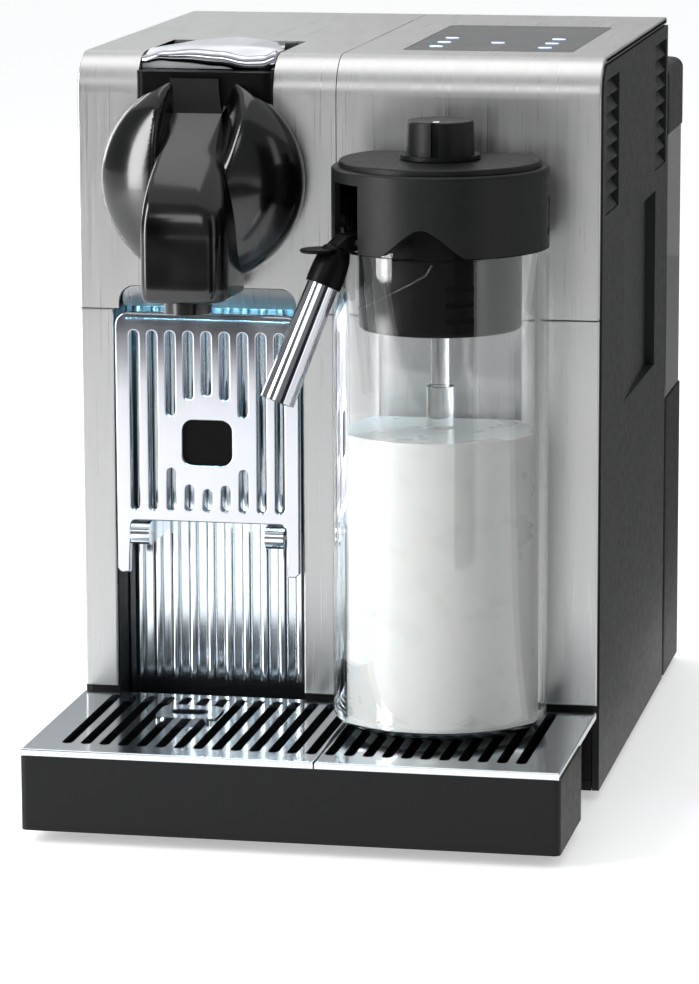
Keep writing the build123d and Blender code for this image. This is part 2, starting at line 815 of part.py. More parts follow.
with BuildPart() as drip_bin:
    bin_y = (tray_front + fascia_t, tray_back)
    slab((-bin_half, bin_half), bin_y, (bin_low, grid_z[0]))
    slab(
        (-bin_half + wall, bin_half - wall),
        (bin_y[0] + wall, bin_y[1] - wall),
        (bin_low + wall, grid_z[0] + 1),
        Mode.SUBTRACT,
    )
    slab(
        bridge_x,
        (tray_back, front + rib_setback + pod_bin_l + 6),
        (bridge_low, bridge_low + bridge_t),
    )
save(drip_bin.part, "drip_bin")

with BuildPart() as tray_fascia:
    fascia_z = (fascia_low, grid_z[0])
    fascia_back = tray_front + fascia_return
    slab((-half, half), (tray_front, fascia_back), fascia_z)
    fillet(tray_fascia.edges().filter_by(Axis.Z).group_by(Axis.Y)[0], 2.5)
    slab(
        (-half + fascia_t, half - fascia_t),
        (tray_front + fascia_t, fascia_back + 1),
        (0, grid_top + 1),
        Mode.SUBTRACT,
    )
save(tray_fascia.part, "tray_fascia")


def grid(x, slots, name, with_boss):
    """One perforated drip grid; slots run front to back."""
    with BuildPart() as plate:
        grid_y = (tray_front + 0.4, front - 1.5)
        slab(x, grid_y, grid_z)
        fillet(plate.faces().sort_by(Axis.Z)[-1].edges(), 0.6)
        slot_y = (grid_y[0] + grid_slot_front, grid_y[1] - grid_slot_back)
        with BuildSketch(Plane.XY.offset(grid_top + 1)):
            for slot_x in slots:
                with Locations((slot_x, sum(slot_y) / 2)):
                    SlotOverall(slot_y[1] - slot_y[0], grid_slot_w, rotation=90)
            if with_boss:
                boss_y = front - finger_boss_start - finger_boss_l / 2
                with Locations((column_x, boss_y)):
                    RectangleRounded(finger_boss_w, finger_boss_l, 5, mode=Mode.SUBTRACT)
        extrude(amount=-grid_t - 2, mode=Mode.SUBTRACT)
        if with_boss:
            with BuildSketch(Plane.XY.offset(grid_z[0])):
                with Locations((column_x, boss_y)):
                    RectangleRounded(finger_boss_w, finger_boss_l, 5)
            extrude(amount=grid_t + finger_boss_h)
            with BuildSketch(Plane.XY.offset(grid_z[0] - 1)):
                with Locations((column_x, boss_y)):
                    SlotOverall(finger_slot_w, finger_slot_l)
            extrude(amount=grid_t + finger_boss_h + 2, mode=Mode.SUBTRACT)
    save(plate.part, name)


tray_split = column_x + split_slot * slot_pitch
slot_limit = skin_half - grid_border
first_slot = -int((slot_limit + column_x) / slot_pitch)
last_slot = int((slot_limit - column_x) / slot_pitch)
slot_xs = [column_x + k * slot_pitch for k in range(first_slot, last_slot + 1)]
left_slots = [x for x in slot_xs if x < tray_split]
right_slots = [x for x in slot_xs if x > tray_split]
grid((-skin_half, tray_split - grid_split_gap / 2), left_slots, "grid_left", True)
grid((tray_split + grid_split_gap / 2, skin_half), right_slots, "grid_right", False)

with BuildPart() as pod_bin:
    pod_bin_x = around(column_x, column_w - 9)
    pod_bin_y = (splash_y[1] + gap, splash_y[1] + gap + pod_bin_l)
    slab(pod_bin_x, pod_bin_y, (splash_low, pod_bin_top))
    slab(
        (pod_bin_x[0] + wall, pod_bin_x[1] - wall),
        (pod_bin_y[0] + wall, pod_bin_y[1] - wall),
        (splash_low + wall, pod_bin_top + 1),
        Mode.SUBTRACT,
    )
save(pod_bin.part, "pod_bin")

# ==== Milk jug ====================================================================


def jug_outline(radius, flat):
    """Round jug section whose back is cut flat, flat mm inside the back plane."""
    with Locations((jug_x, jug_y)):
        Circle(radius)
    with Locations((jug_x, jug_back - flat + 60)):
        Rectangle(4 * jug_r, 120, mode=Mode.SUBTRACT)


def jug_solid(radius, flat, low, high, mode=Mode.ADD):
    """The jug's section raised from low to high."""
    with BuildSketch(Plane.XY.offset(low)) as outline:
        jug_outline(radius, flat)
    extrude(outline.sketch, amount=high - low, mode=mode)


neck_r = jug_r - lid_wall - gap
with BuildPart() as jug_glass:
    jug_solid(jug_r, 0, jug_low, rim_z - gap)
    fillet(jug_glass.faces().sort_by(Axis.Z)[0].edges(), jug_bottom_r)
    jug_solid(neck_r, lid_wall + gap, rim_z - gap, rim_z + jug_neck_h)
    inner_r = neck_r - jug_wall
    jug_solid(inner_r, lid_wall + gap + jug_wall, jug_low + jug_floor, rim_z + 40, Mode.SUBTRACT)
    slab(
        around(jug_x, 3 * jug_r),
        around(button_y, button_w + 2 * run_gap),
        (button_z - button_h / 2 - run_gap, rim_z + 40),
        Mode.SUBTRACT,
    )
    with BuildSketch(spout_plane.offset(-recess_w / 2 - 1)):
        with Locations((jug_r - recess_deep - 2, rim_z - gap)):
            Rectangle(30, 60, align=(Align.MIN, Align.MIN))
    extrude(amount=recess_w + 2, mode=Mode.SUBTRACT)
save(jug_glass.part, "jug_glass")

milk_top = jug_low + milk_level * (rim_z - jug_low)
with BuildPart() as milk:
    jug_solid(inner_r - 0.1, lid_wall + gap + jug_wall + 0.1, jug_low + jug_floor + 0.1, milk_top)
    rod(
        (jug_x, jug_y, jug_low + jug_floor + 12),
        (0, 0, 1),
        sleeve_r + gap,
        milk_top,
        Mode.SUBTRACT,
    )
save(milk.part, "milk")

with BuildPart() as jug_lid:
    jug_solid(jug_r, 0, rim_z, lid_top)
    fillet(jug_lid.faces().sort_by(Axis.Z)[-1].edges(), 1.2)
    jug_solid(jug_r - lid_wall, lid_wall, rim_z - 1, lid_top - lid_deck_t, Mode.SUBTRACT)
    with BuildSketch(Plane.XZ.offset(-jug_y)):
        with BuildLine():
            arch_low = rim_z - 1
            Line((jug_x - arch_w / 2 - 3, arch_low), (jug_x + arch_w / 2 + 3, arch_low))
            Spline(
                (jug_x + arch_w / 2 + 3, arch_low),
                (jug_x + arch_w / 2 - 3, rim_z + 3),
                (jug_x, rim_z + arch_h),
                (jug_x - arch_w / 2 + 3, rim_z + 3),
                (jug_x - arch_w / 2 - 3, arch_low),
            )
        make_face()
    extrude(amount=60, mode=Mode.SUBTRACT)
    with BuildSketch(spout_plane.offset(-recess_w / 2)):
        with Locations((jug_r - recess_deep, rim_z - 1)):
            Rectangle(30, recess_h + 1, align=(Align.MIN, Align.MIN))
    extrude(amount=recess_w, mode=Mode.SUBTRACT)
    for sign in (-1, 1):
        with BuildSketch(Plane.YZ.offset(jug_x + sign * jug_r * 0.8)):
            with Locations((button_y, button_z)):
                SlotOverall(button_h + 2 * gap, button_w + 2 * gap, rotation=90)
        extrude(amount=sign * 20, mode=Mode.SUBTRACT)
    rod((jug_x, jug_back - 6, plug_z), (0, 1, 0), plug_r + gap, 10, Mode.SUBTRACT)
    rod((jug_x, jug_y, lid_top - 10), (0, 0, 1), stem_r + 0.1, 20, Mode.SUBTRACT)
save(jug_lid.part, "jug_lid")

with BuildPart() as jug_top_plate:
    jug_solid(top_plate_r, jug_r - top_plate_r, lid_top, lid_top + top_plate_t)
    fillet(jug_top_plate.faces().sort_by(Axis.Z)[-1].edges(), 0.8)
    rod((jug_x, jug_y, lid_top - 10), (0, 0, 1), stem_r + 0.1, 20, Mode.SUBTRACT)
save(jug_top_plate.part, "jug_top_plate")

knob_low = lid_top + top_plate_t + gap
with BuildPart() as froth_knob:
    rod((jug_x, jug_y, knob_low), (0, 0, 1), knob_flange_r, knob_flange_t)
    with BuildSketch(Plane.XY.offset(knob_low + knob_flange_t)):
        with Locations((jug_x, jug_y)):
            Circle(knob_r)
    extrude(amount=knob_h, taper=2)
    fillet(froth_knob.edges().group_by(Axis.Z)[-1], 0.8)
    slab(
        around(jug_x, knob_notch_w),
        (jug_y - knob_r - 1, jug_y - knob_r + 2),
        (knob_low + knob_flange_t, knob_low + 40),
        Mode.SUBTRACT,
    )
    rod((jug_x, jug_y, lid_top - 2), (0, 0, 1), stem_r, knob_low - lid_top + 2)
save(froth_knob.part, "froth_knob")

froth_low = rim_z - froth_drop
froth_top = lid_top - lid_deck_t - gap
froth_flat = jug_back - lid_wall - gap - jug_wall - gap
vent_side = 0.42  # how far round the frother the vents sit, radians from +X
with BuildPart() as froth_body:
    rod((jug_x, jug_y, froth_low), (0, 0, 1), froth_r, rim_z - 2 - froth_low)
    fillet(froth_body.edges().group_by(Axis.Z)[0], 1.5)
    rod((jug_x, jug_y, rim_z - 2), (0, 0, 1), froth_r - 3.5, froth_top - rim_z + 2)
    slab(
        around(jug_x, 2 * jug_r),
        (froth_flat, jug_back + 20),
        (froth_low - 1, froth_top + 1),
        Mode.SUBTRACT,
    )
    vent_plane = Plane(
        origin=(jug_x, jug_y, froth_low),
        x_dir=(math.cos(vent_side), math.sin(vent_side), 0),
        z_dir=(math.sin(vent_side), -math.cos(vent_side), 0),
    )
    with BuildSketch(vent_plane.offset(froth_r - 1)):
        for k in range(3):
            with Locations((0, 6 + k * vent_pitch)):
                Rectangle(vent_w, vent_h)
    extrude(amount=5, mode=Mode.SUBTRACT)
    recess_cut = jug_r - recess_deep - 1
    with BuildSketch(spout_plane.offset(-recess_w / 2 - 1)):
        with Locations((recess_cut, rim_z - 2)):
            Rectangle(30, 60, align=(Align.MIN, Align.MIN))
    extrude(amount=recess_w + 2, mode=Mode.SUBTRACT)
save(froth_body.part, "froth_body")

with BuildPart() as milk_pipe:
    rod((jug_x, jug_y, jug_low + jug_floor + 14), (0, 0, 1), pipe_r, froth_low - jug_low - jug_floor - 14)
    rod((jug_x, jug_y, rim_z - sleeve_drop - sleeve_l), (0, 0, 1), sleeve_r, sleeve_l)
save(milk_pipe.part, "milk_pipe")

with BuildPart() as jug_plug:
    plug_start = froth_flat + 2 * gap
    rod((jug_x, plug_start, plug_z), (0, 1, 0), plug_r, front + plug_l - 3 - plug_start)
    rod((jug_x, front + plug_l - 13, plug_z), (0, 1, 0), 1.6, 20, Mode.SUBTRACT)
save(jug_plug.part, "jug_plug")

for sign, side in ((-1, "left"), (1, "right")):
    outer_x = jug_x + sign * (jug_r - 0.8)
    with BuildPart() as button:
        with BuildSketch(Plane.YZ.offset(outer_x)):
            with Locations((button_y, button_z)):
                SlotOverall(button_h, button_w, rotation=90)
        extrude(amount=-sign * button_l)
    save(button.part, f"release_button_{side}")

# ==== Milk spout ==================================================================

root_out = (jug_r + tube_root_reach, rim_z - tube_root_drop)
tip_out = (jug_r + tube_tip_reach, rim_z - tube_tip_drop)
pivot = (jug_r - pivot_deep, rim_z + pivot_rise)
lean = math.atan2(tip_out[0] - root_out[0], root_out[1] - tip_out[1])
tube_start = spout_plane.from_local_coords(Vector(root_out[0], root_out[1], 0))
tube_end = spout_plane.from_local_coords(Vector(tip_out[0], tip_out[1], 0))
tube_dir = (tube_end - tube_start).normalized()

with BuildPart() as spout_tube:
    with BuildSketch(Plane(origin=tube_start, z_dir=tube_dir)):
        Circle(tube_top_r)
    with BuildSketch(Plane(origin=tube_end, z_dir=tube_dir)):
        Circle(tube_tip_r)
    loft()
    rod(tube_end, tube_dir * -1, tube_bore_r, 80, Mode.SUBTRACT)
    rod(tube_end, tube_dir * -1, tube_tip_r - 1.2, 3, Mode.SUBTRACT)
save(spout_tube.part, "spout_tube")

with BuildPart() as spout_arm:
    with BuildSketch(spout_plane.offset(-arm_w / 2)):
        with BuildLine():
            arm_back = jug_r - recess_deep + 1.2
            side_out = math.cos(lean) * tube_top_r
            side_up = math.sin(lean) * tube_top_r
            Polyline(
                (arm_back, pivot[1] + 3.4),
                (root_out[0] + side_out, root_out[1] + side_up + 4),
                (root_out[0] + side_out, root_out[1] + side_up),
                (root_out[0] - side_out, root_out[1] - side_up),
                (jug_r + 0.8, rim_z - 2.5),
                (jug_r + 0.8, rim_z + 0.4),
                (arm_back + arm_heel, rim_z + 0.4),
                (arm_back, rim_z + 0.4 + arm_heel),
                (arm_back, pivot[1] + 3.4),
            )
        make_face()
    extrude(amount=arm_w)
    with BuildSketch(Plane.XY.offset(rim_z + 0.6)):
        thumb_at = (
            jug_x + spout_dir.X * (root_out[0] + 3.5),
            jug_y + spout_dir.Y * (root_out[0] + 3.5),
        )
        with Locations(Location(thumb_at, spout_turn)):
            Ellipse(thumb_l / 2, thumb_w / 2)
    extrude(amount=thumb_t)
    pin_start = spout_plane.from_local_coords(Vector(pivot[0], pivot[1], -recess_w))
    rod(pin_start, spout_across, pivot_r + pin_gap, 2 * recess_w, Mode.SUBTRACT)
save(spout_arm.part, "spout_arm")

with BuildPart() as spout_pin:
    pin_start = spout_plane.from_local_coords(Vector(pivot[0], pivot[1], -recess_w / 2))
    rod(pin_start, spout_across, pivot_r, recess_w)
save(spout_pin.part, "spout_pin")

# ==== Steam connector =============================================================

with BuildPart() as steam_connector:
    rod((jug_x, front + 0.6, plug_z), (0, 1, 0), connector_r, 22)
    rod((jug_x, front, plug_z), (0, 1, 0), plug_r + pin_gap, 18, Mode.SUBTRACT)
save(steam_connector.part, "steam_connector")

# ==== Water tank on its seat ======================================================

tank_half = half - tank_inset
tank_y = (back + 0.8, depth / 2 - 0.5)


def rounded_block(x, y, z, radius, mode=Mode.ADD):
    """A block whose upright edges are rounded."""
    with BuildSketch(Plane.XY.offset(z[0])) as outline:
        with Locations(((x[0] + x[1]) / 2, (y[0] + y[1]) / 2)):
            RectangleRounded(x[1] - x[0], y[1] - y[0], radius)
    extrude(outline.sketch, amount=z[1] - z[0], mode=mode)


inlet_x = around(half - 34, 26)
inlet_z = (16.0, 36.0)
with BuildPart() as tank_seat_block:
    seat_y = (back + gap, depth / 2)
    rounded_block((-half, half), seat_y, (floor_gap, tank_seat), tank_corner)
    slab(
        (-half + 3, half - 3),
        (seat_y[0] - 1, seat_y[1] - 3),
        (floor_gap + 3, tank_seat - 3),
        Mode.SUBTRACT,
    )
    slab(inlet_x, (seat_y[1] - 4, seat_y[1] + 1), inlet_z, Mode.SUBTRACT)
    rod((column_x, sum(tank_y) / 2, tank_seat - 4), (0, 0, 1), valve_r + run_gap, 5, Mode.SUBTRACT)
save(tank_seat_block.part, "tank_seat")

with BuildPart() as mains_inlet:
    slab(around(sum(inlet_x) / 2, 25.4), (depth / 2 - 18, depth / 2 - 0.4), around(26, 19.4))
    slab(around(sum(inlet_x) / 2, 20), (depth / 2 - 14, depth / 2 + 1), around(26, 14), Mode.SUBTRACT)
    for side in (-1, 1):
        rod((sum(inlet_x) / 2 + side * 4.3, depth / 2 - 15, 26), (0, 1, 0), 1.2, 8)
save(mains_inlet.part, "mains_inlet")

neck_inset = tank_lid_wall + run_gap
with BuildPart() as water_tank:
    rounded_block((-tank_half, tank_half), tank_y, (tank_seat + gap, tank_rim), tank_corner)
    rounded_block(
        (-half + neck_inset, half - neck_inset),
        (tank_y[0] + neck_inset + neck_swing, depth / 2 - neck_inset),
        (tank_rim, tank_rim + tank_neck_h),
        tank_corner - 1,
    )
    rounded_block(
        (-half + neck_inset + tank_wall, half - neck_inset - tank_wall),
        (tank_y[0] + neck_inset + neck_swing + tank_wall, depth / 2 - neck_inset - tank_wall),
        (tank_seat + gap + tank_wall, tank_rim + 40),
        tank_corner - 3,
        Mode.SUBTRACT,
    )
    rod((column_x, sum(tank_y) / 2, tank_seat - 1), (0, 0, 1), valve_r - 2, 8, Mode.SUBTRACT)
save(water_tank.part, "water_tank")

with BuildPart() as tank_valve:
    valve_at = (column_x, sum(tank_y) / 2, tank_seat + gap + tank_wall)
    rod(valve_at, (0, 0, 1), valve_r, valve_h)
    rod((valve_at[0], valve_at[1], tank_seat - 2.4), (0, 0, 1), valve_r - 2.3, tank_wall + gap + 2.4)
    rod((valve_at[0], valve_at[1], tank_seat - 3), (0, 0, 1), 1.8, 30, Mode.SUBTRACT)
save(tank_valve.part, "tank_valve")

with BuildPart() as tank_lid:
    rounded_block((-half, half), (tank_y[0], depth / 2), (tank_rim + gap, tank_lid_top), tank_corner)
    fillet(tank_lid.faces().sort_by(Axis.Z)[-1].edges(), 4)
    rounded_block(
        (-half + tank_lid_wall, half - tank_lid_wall),
        (tank_y[0] + tank_lid_wall, depth / 2 - tank_lid_wall),
        (tank_rim - 1, tank_lid_top - tank_lid_wall),
        tank_corner - 1.5,
        Mode.SUBTRACT,
    )
    slab((-half, half), (depth / 2 - tank_corner, depth / 2 + 1), (tank_rim, lid_hinge_z), Mode.SUBTRACT)
    barrel_x = around(0, width - 4 * tank_corner)
    rod((barrel_x[0], lid_hinge_y, lid_hinge_z), (1, 0, 0), hinge_barrel_r, barrel_x[1] - barrel_x[0])
save(tank_lid.part, "tank_lid")

# ==== Inner machinery =============================================================

boiler_x = around(width * 0.23, boiler_w)
boiler_y = (front + 62, front + 62 + boiler_l)
boiler_z = (height - 34 - boiler_h, height - 34)
with BuildPart() as boiler:
    slab(boiler_x, boiler_y, boiler_z)
    fillet(boiler.edges().filter_by(Axis.Z), 8)
    for k in range(4):
        rib_at = boiler_z[0] + 12 + k * 15
        slab((boiler_x[0] - 2, boiler_x[1] + 2), (boiler_y[0] + 10, boiler_y[1] - 10), (rib_at, rib_at + 3))
save(boiler.part, "boiler")

pump_y = front + 60
pump_z = base_top + 12 + pump_r
pump_x = around(width * 0.21, pump_l)
with BuildPart() as pump:
    rod((pump_x[0], pump_y, pump_z), (1, 0, 0), pump_r, pump_l)
    rod((pump_x[0] - 12, pump_y, pump_z), (1, 0, 0), 6, 12)
    rod((pump_x[1], pump_y, pump_z), (1, 0, 0), 5, 8)
    slab(around(pump_x[0] + pump_l / 2, 30), around(pump_y, 2 * pump_r + 4), around(pump_z, 2 * pump_r + 4))
save(pump.part, "pump")

meter_at = (width * 0.21, back - 40, base_top + gap)
with BuildPart() as flow_meter:
    rod(meter_at, (0, 0, 1), meter_r, meter_h)
    rod((meter_at[0], meter_at[1], base_top + 9), (1, 0, 0), 4, meter_r + 6)
    rod((meter_at[0], meter_at[1], base_top + gap + meter_h), (0, 0, 1), 4, 5)
save(flow_meter.part, "flow_meter")

with BuildPart() as power_board:
    board_y = (back - rear_t - 12, back - rear_t - 12 + board_t)
    board_low = base_top + 62
    slab(around(width * 0.21, board_w), board_y, (board_low, board_low + board_h))
    for x, z, w, h in ((-24, 20, 20, 18), (10, 24, 26, 22), (-20, 58, 16, 24), (22, 62, 18, 14)):
        slab(
            around(width * 0.21 + x, w),
            (board_y[0] - 12, board_y[0]),
            around(board_low + z, h),
        )
save(power_board.part, "power_board")

with BuildPart() as steam_pipe:
    start = (jug_x, front + 22.6, plug_z)
    with BuildLine() as pipe_path:
        Line(start, (jug_x, boiler_y[0], plug_z))
    with BuildSketch(Plane(origin=start, z_dir=(0, 1, 0))):
        Circle(hose_r)
    sweep()
save(steam_pipe.part, "steam_pipe")

with BuildPart() as water_hose:
    hose_x = meter_at[0]
    hose_low = base_top + gap + meter_h + 5
    with BuildLine() as hose_path:
        FilletPolyline(
            (hose_x, meter_at[1], hose_low),
            (hose_x, meter_at[1], boiler_z[0] - 24),
            (hose_x, boiler_y[1] - 14, boiler_z[0] - 24),
            (hose_x, boiler_y[1] - 14, boiler_z[0]),
            radius=8,
        )
    with BuildSketch(Plane(origin=(hose_x, meter_at[1], hose_low), z_dir=(0, 0, 1))):
        Circle(hose_r)
    sweep()
save(water_hose.part, "water_hose")
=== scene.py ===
import json
import math

import bmesh
import bpy
from mathutils import Matrix, Vector


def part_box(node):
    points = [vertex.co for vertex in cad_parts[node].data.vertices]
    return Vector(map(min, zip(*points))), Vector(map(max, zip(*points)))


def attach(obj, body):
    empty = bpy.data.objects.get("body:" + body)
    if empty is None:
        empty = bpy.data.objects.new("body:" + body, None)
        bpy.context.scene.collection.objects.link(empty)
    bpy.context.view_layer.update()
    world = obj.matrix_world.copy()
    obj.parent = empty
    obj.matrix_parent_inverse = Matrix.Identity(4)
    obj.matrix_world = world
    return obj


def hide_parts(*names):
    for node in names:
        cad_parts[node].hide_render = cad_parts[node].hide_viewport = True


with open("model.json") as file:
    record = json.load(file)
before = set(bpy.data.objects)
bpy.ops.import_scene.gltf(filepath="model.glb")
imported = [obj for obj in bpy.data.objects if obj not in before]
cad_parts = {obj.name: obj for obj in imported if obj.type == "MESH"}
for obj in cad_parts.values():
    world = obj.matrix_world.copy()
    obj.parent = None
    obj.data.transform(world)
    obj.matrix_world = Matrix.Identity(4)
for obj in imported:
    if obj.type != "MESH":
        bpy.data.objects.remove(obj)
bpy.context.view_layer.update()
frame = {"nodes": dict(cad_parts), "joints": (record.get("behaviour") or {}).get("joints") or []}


# ---- Studio: table top, surroundings and lamps --------------------------------------
# A matt white table in a white studio. Large soft lamps stand left, right and above,
# and dark cards beside them give the polished metal something black to mirror.


def linear(colour):
    """An sRGB hex colour as linear red, green, blue and alpha."""
    channels = [int(colour[i : i + 2], 16) / 255 for i in (1, 3, 5)]
    return [c / 12.92 if c <= 0.04045 else ((c + 0.055) / 1.055) ** 2.4 for c in channels] + [1.0]


def node(tree, kind, settings=None, links=None):
    """Adds one node. Settings go to its inputs or its own fields, and links feed its inputs."""
    made = tree.nodes.new(kind)
    for name, value in (settings or {}).items():
        if isinstance(name, int) or name in made.inputs:
            made.inputs[name].default_value = value
        else:
            setattr(made, name, value)
    for name, (source, output) in (links or {}).items():
        tree.links.new(source.outputs[output], made.inputs[name])
    return made


def blank(name, **fields):
    """A new material with those fields of its shader set, colours as hex."""
    made = bpy.data.materials.new(name)
    made.use_nodes = True
    shader = made.node_tree.nodes["Principled BSDF"]
    for field, value in fields.items():
        socket = shader.inputs[field.replace("_", " ").title().replace("Ior", "IOR")]
        socket.default_value = linear(value) if isinstance(value, str) else value
    return made


def mesh_piece(name, build, finish, smooth):
    """A new object from a bmesh that build fills, shaded smooth below that angle in degrees."""
    grid = bmesh.new()
    build(grid)
    bmesh.ops.recalc_face_normals(grid, faces=grid.faces)
    mesh = bpy.data.meshes.new(name)
    grid.to_mesh(mesh)
    grid.free()
    mesh.materials.append(finish)
    made = bpy.data.objects.new(name, mesh)
    bpy.context.scene.collection.objects.link(made)
    mesh.shade_smooth()
    mesh.set_sharp_from_angle(angle=math.radians(smooth))
    return made


scene = bpy.context.scene
scene.view_settings.view_transform = "Standard"

# The eye stands to the right of the machine's front and looks down at it a little.
eye = Vector((0.3177, -1.6346, 0.4232))
yaw, pitch, roll = math.radians(11.35), math.radians(11.03), math.radians(-0.22)
camera = bpy.data.objects.new("camera", bpy.data.cameras.new("camera"))
camera.data.lens = 161.7
scene.collection.objects.link(camera)
turned = (
    Matrix.Rotation(yaw, 4, "Z")
    @ Matrix.Rotation(math.pi / 2 - pitch, 4, "X")
    @ Matrix.Rotation(roll, 4, "Z")
)
camera.matrix_world = Matrix.Translation(eye) @ turned
scene.camera = camera

world = bpy.data.worlds.new("white_studio")
world.use_nodes = True
scene.world = world
sky = world.node_tree
sky.nodes.clear()
seen = node(sky, "ShaderNodeBackground", {"Color": linear("#FFFFFF"), "Strength": 1.0})
lit = node(sky, "ShaderNodeBackground", {"Color": linear("#E9EDF0"), "Strength": 0.3})
path = node(sky, "ShaderNodeLightPath")
sources = {"Fac": (path, "Is Camera Ray"), 1: (lit, "Background"), 2: (seen, "Background")}
both = node(sky, "ShaderNodeMixShader", links=sources)
node(sky, "ShaderNodeOutputWorld", links={"Surface": (both, "Shader")})

table_paint = blank(
    "matt_white_laminate",
    base_color="#F8F8F8",
    ior=1.45,
    emission_color="#FFFFFF",
    emission_strength=0.42,
)
tree = table_paint.node_tree
where = node(tree, "ShaderNodeTexCoord")
mottle = node(tree, "ShaderNodeTexNoise", {"Scale": 35.0, "Detail": 3.0}, {"Vector": (where, "Object")})
shade = node(tree, "ShaderNodeMapRange", {"To Min": 0.43, "To Max": 0.5}, {"Value": (mottle, "Fac")})
tree.links.new(shade.outputs["Result"], tree.nodes["Principled BSDF"].inputs["Roughness"])


def flat_card(name, centre, width, height, facing, finish):
    """An upright or tilted rectangle about centre, looking towards facing."""

    def build(grid):
        corners = ((-1, -1), (1, -1), (1, 1), (-1, 1))
        grid.faces.new([grid.verts.new((x * width / 2, y * height / 2, 0)) for x, y in corners])

    card = mesh_piece(name, build, finish, 40)
    card.location = centre
    card.rotation_euler = (Vector(facing) - Vector(centre)).to_track_quat("Z", "Y").to_euler()
    return card


table = flat_card("table_top", (0, 0, -0.0002), 14, 14, (0, 0, 1), table_paint)


def soft_lamp(name, place, aim, size, power, colour="#FFFFFF"):
    """A rectangular area lamp that points at aim."""
    data = bpy.data.lights.new(name, "AREA")
    data.shape = "RECTANGLE"
    data.size, data.size_y = size
    data.energy = power
    data.color = linear(colour)[:3]
    lamp = bpy.data.objects.new(name, data)
    lamp.location = place
    lamp.rotation_euler = (Vector(aim) - Vector(place)).to_track_quat("-Z", "Y").to_euler()
    scene.collection.objects.link(lamp)


soft_lamp("lamp_above", (-0.15, 0.1, 1.4), (0, 0.0, 0.1), (1.1, 0.8), 4)
soft_lamp("lamp_left", (-0.85, -0.75, 0.5), (-0.02, -0.05, 0.16), (0.3, 1.0), 12)
soft_lamp("lamp_right", (1.2, -0.9, 0.5), (0.05, 0, 0.15), (0.25, 1.0), 0.8)
soft_lamp("lamp_front", (-0.3, -2.6, 1.4), (0, 0, 0.1), (1.2, 0.6), 7)
soft_lamp("lamp_back_left", (-1.3, 0.9, 0.7), (0, 0.05, 0.15), (0.5, 1.0), 8)
soft_lamp("lamp_behind", (-0.5, 1.5, 1.0), (0, 0, 0.15), (1.0, 0.5), 1)

ceiling = bpy.data.objects.new("ceiling_glow", bpy.data.lights.new("ceiling_glow", "SUN"))
ceiling.data.energy = 1.1
ceiling.data.angle = math.radians(120)
ceiling.data.specular_factor = 0.0
ceiling.rotation_euler = (math.radians(-18), math.radians(6), 0)
scene.collection.objects.link(ceiling)

card_black = blank("black_card", base_color="#050505", roughness=0.9)
card_grey = blank("grey_card", base_color="#8A8A8A", roughness=0.9)
for name, place, size, facing, paint in (
    ("dark_card_left", (-0.62, -1.6, 0.35), (0.32, 1.2), (0, 0, 0.2), card_black),
    ("dark_card_right", (0.34, -0.5, 0.2), (0.2, 0.5), (0.05, 0, 0.18), card_black),
    ("grey_card_back", (0.5, 1.2, 0.35), (1.8, 1.0), (0, 0, 0.2), card_grey),
    ("dark_card_front", (-0.35, -1.75, 0.003), (2.2, 1.5), (-0.35, -1.75, 1), card_black),
    ("grey_card_floor", (0.63, 0.66, 0.003), (1.0, 1.4), (0.63, 0.66, 1), card_grey),
):
    card = flat_card(name, place, size[0], size[1], facing, paint)
    card.visible_camera = False
    card.visible_shadow = False
    card.visible_diffuse = False


# ---- Base pan and feet --------------------------------------------------------------
# The pan is injection-moulded black ABS with a spark-eroded grain, and the feet are
# moulded rubber pads pressed into it. Both look dull and slightly uneven.


def uneven(name, cell_mm, roughness, colours, relief=None, detail=2.0, **fields):
    """A material whose roughness and colour wander with one noise, between two values each.

    cell_mm is the real size of the noise along x, y and z. colours is one hex colour or two.
    relief is (depth, cell sizes) in millimetres of a noise that dents the surface.
    """
    made = blank(name, **fields)
    tree = made.node_tree
    shader = tree.nodes["Principled BSDF"]
    where = node(tree, "ShaderNodeTexCoord")
    cells = [cell_mm] if relief is None else [cell_mm, relief[1]]
    noises = []
    for cell in cells:
        scale = [1000 / length for length in cell]
        place = node(tree, "ShaderNodeMapping", {"Scale": scale}, {"Vector": (where, "Object")})
        settings = {"Scale": 1.0, "Detail": detail}
        noises.append(node(tree, "ShaderNodeTexNoise", settings, {"Vector": (place, "Vector")}))
    spread = {"From Min": 0.3, "From Max": 0.7, "To Min": roughness[0], "To Max": roughness[1]}
    ranged = node(tree, "ShaderNodeMapRange", spread, {"Value": (noises[0], "Fac")})
    tree.links.new(ranged.outputs["Result"], shader.inputs["Roughness"])
    if isinstance(colours, str):
        shader.inputs["Base Color"].default_value = linear(colours)
    else:
        settings = {"data_type": "RGBA", 6: linear(colours[0]), 7: linear(colours[1])}
        mixed = node(tree, "ShaderNodeMix", settings, {0: (noises[0], "Fac")})
        tree.links.new(mixed.outputs[2], shader.inputs["Base Color"])
    if relief is not None:
        settings = {"Strength": 1.0, "Distance": relief[0] / 1000}
        bump = node(tree, "ShaderNodeBump", settings, {"Height": (noises[1], "Fac")})
        tree.links.new(bump.outputs["Normal"], shader.inputs["Normal"])
    return made


def grained_plastic(name, colours, roughness, grain_mm=0.6, depth_mm=0.05):
    """Moulded plastic with a spark-eroded grain, which gives small dull facets of light."""
    spread = (roughness - 0.04, roughness + 0.05)
    relief = (depth_mm, (grain_mm, grain_mm, grain_mm))
    return uneven(name, (3, 3, 3), spread, colours, relief, ior=1.53, specular_ior_level=0.22)


def dress(finish, *names):
    """Gives CAD nodes their finish."""
    for name in names:
        cad = frame["nodes"][name]
        if not cad.material_slots:
            cad.data.materials.append(finish)
        for place in cad.material_slots:
            place.material = finish


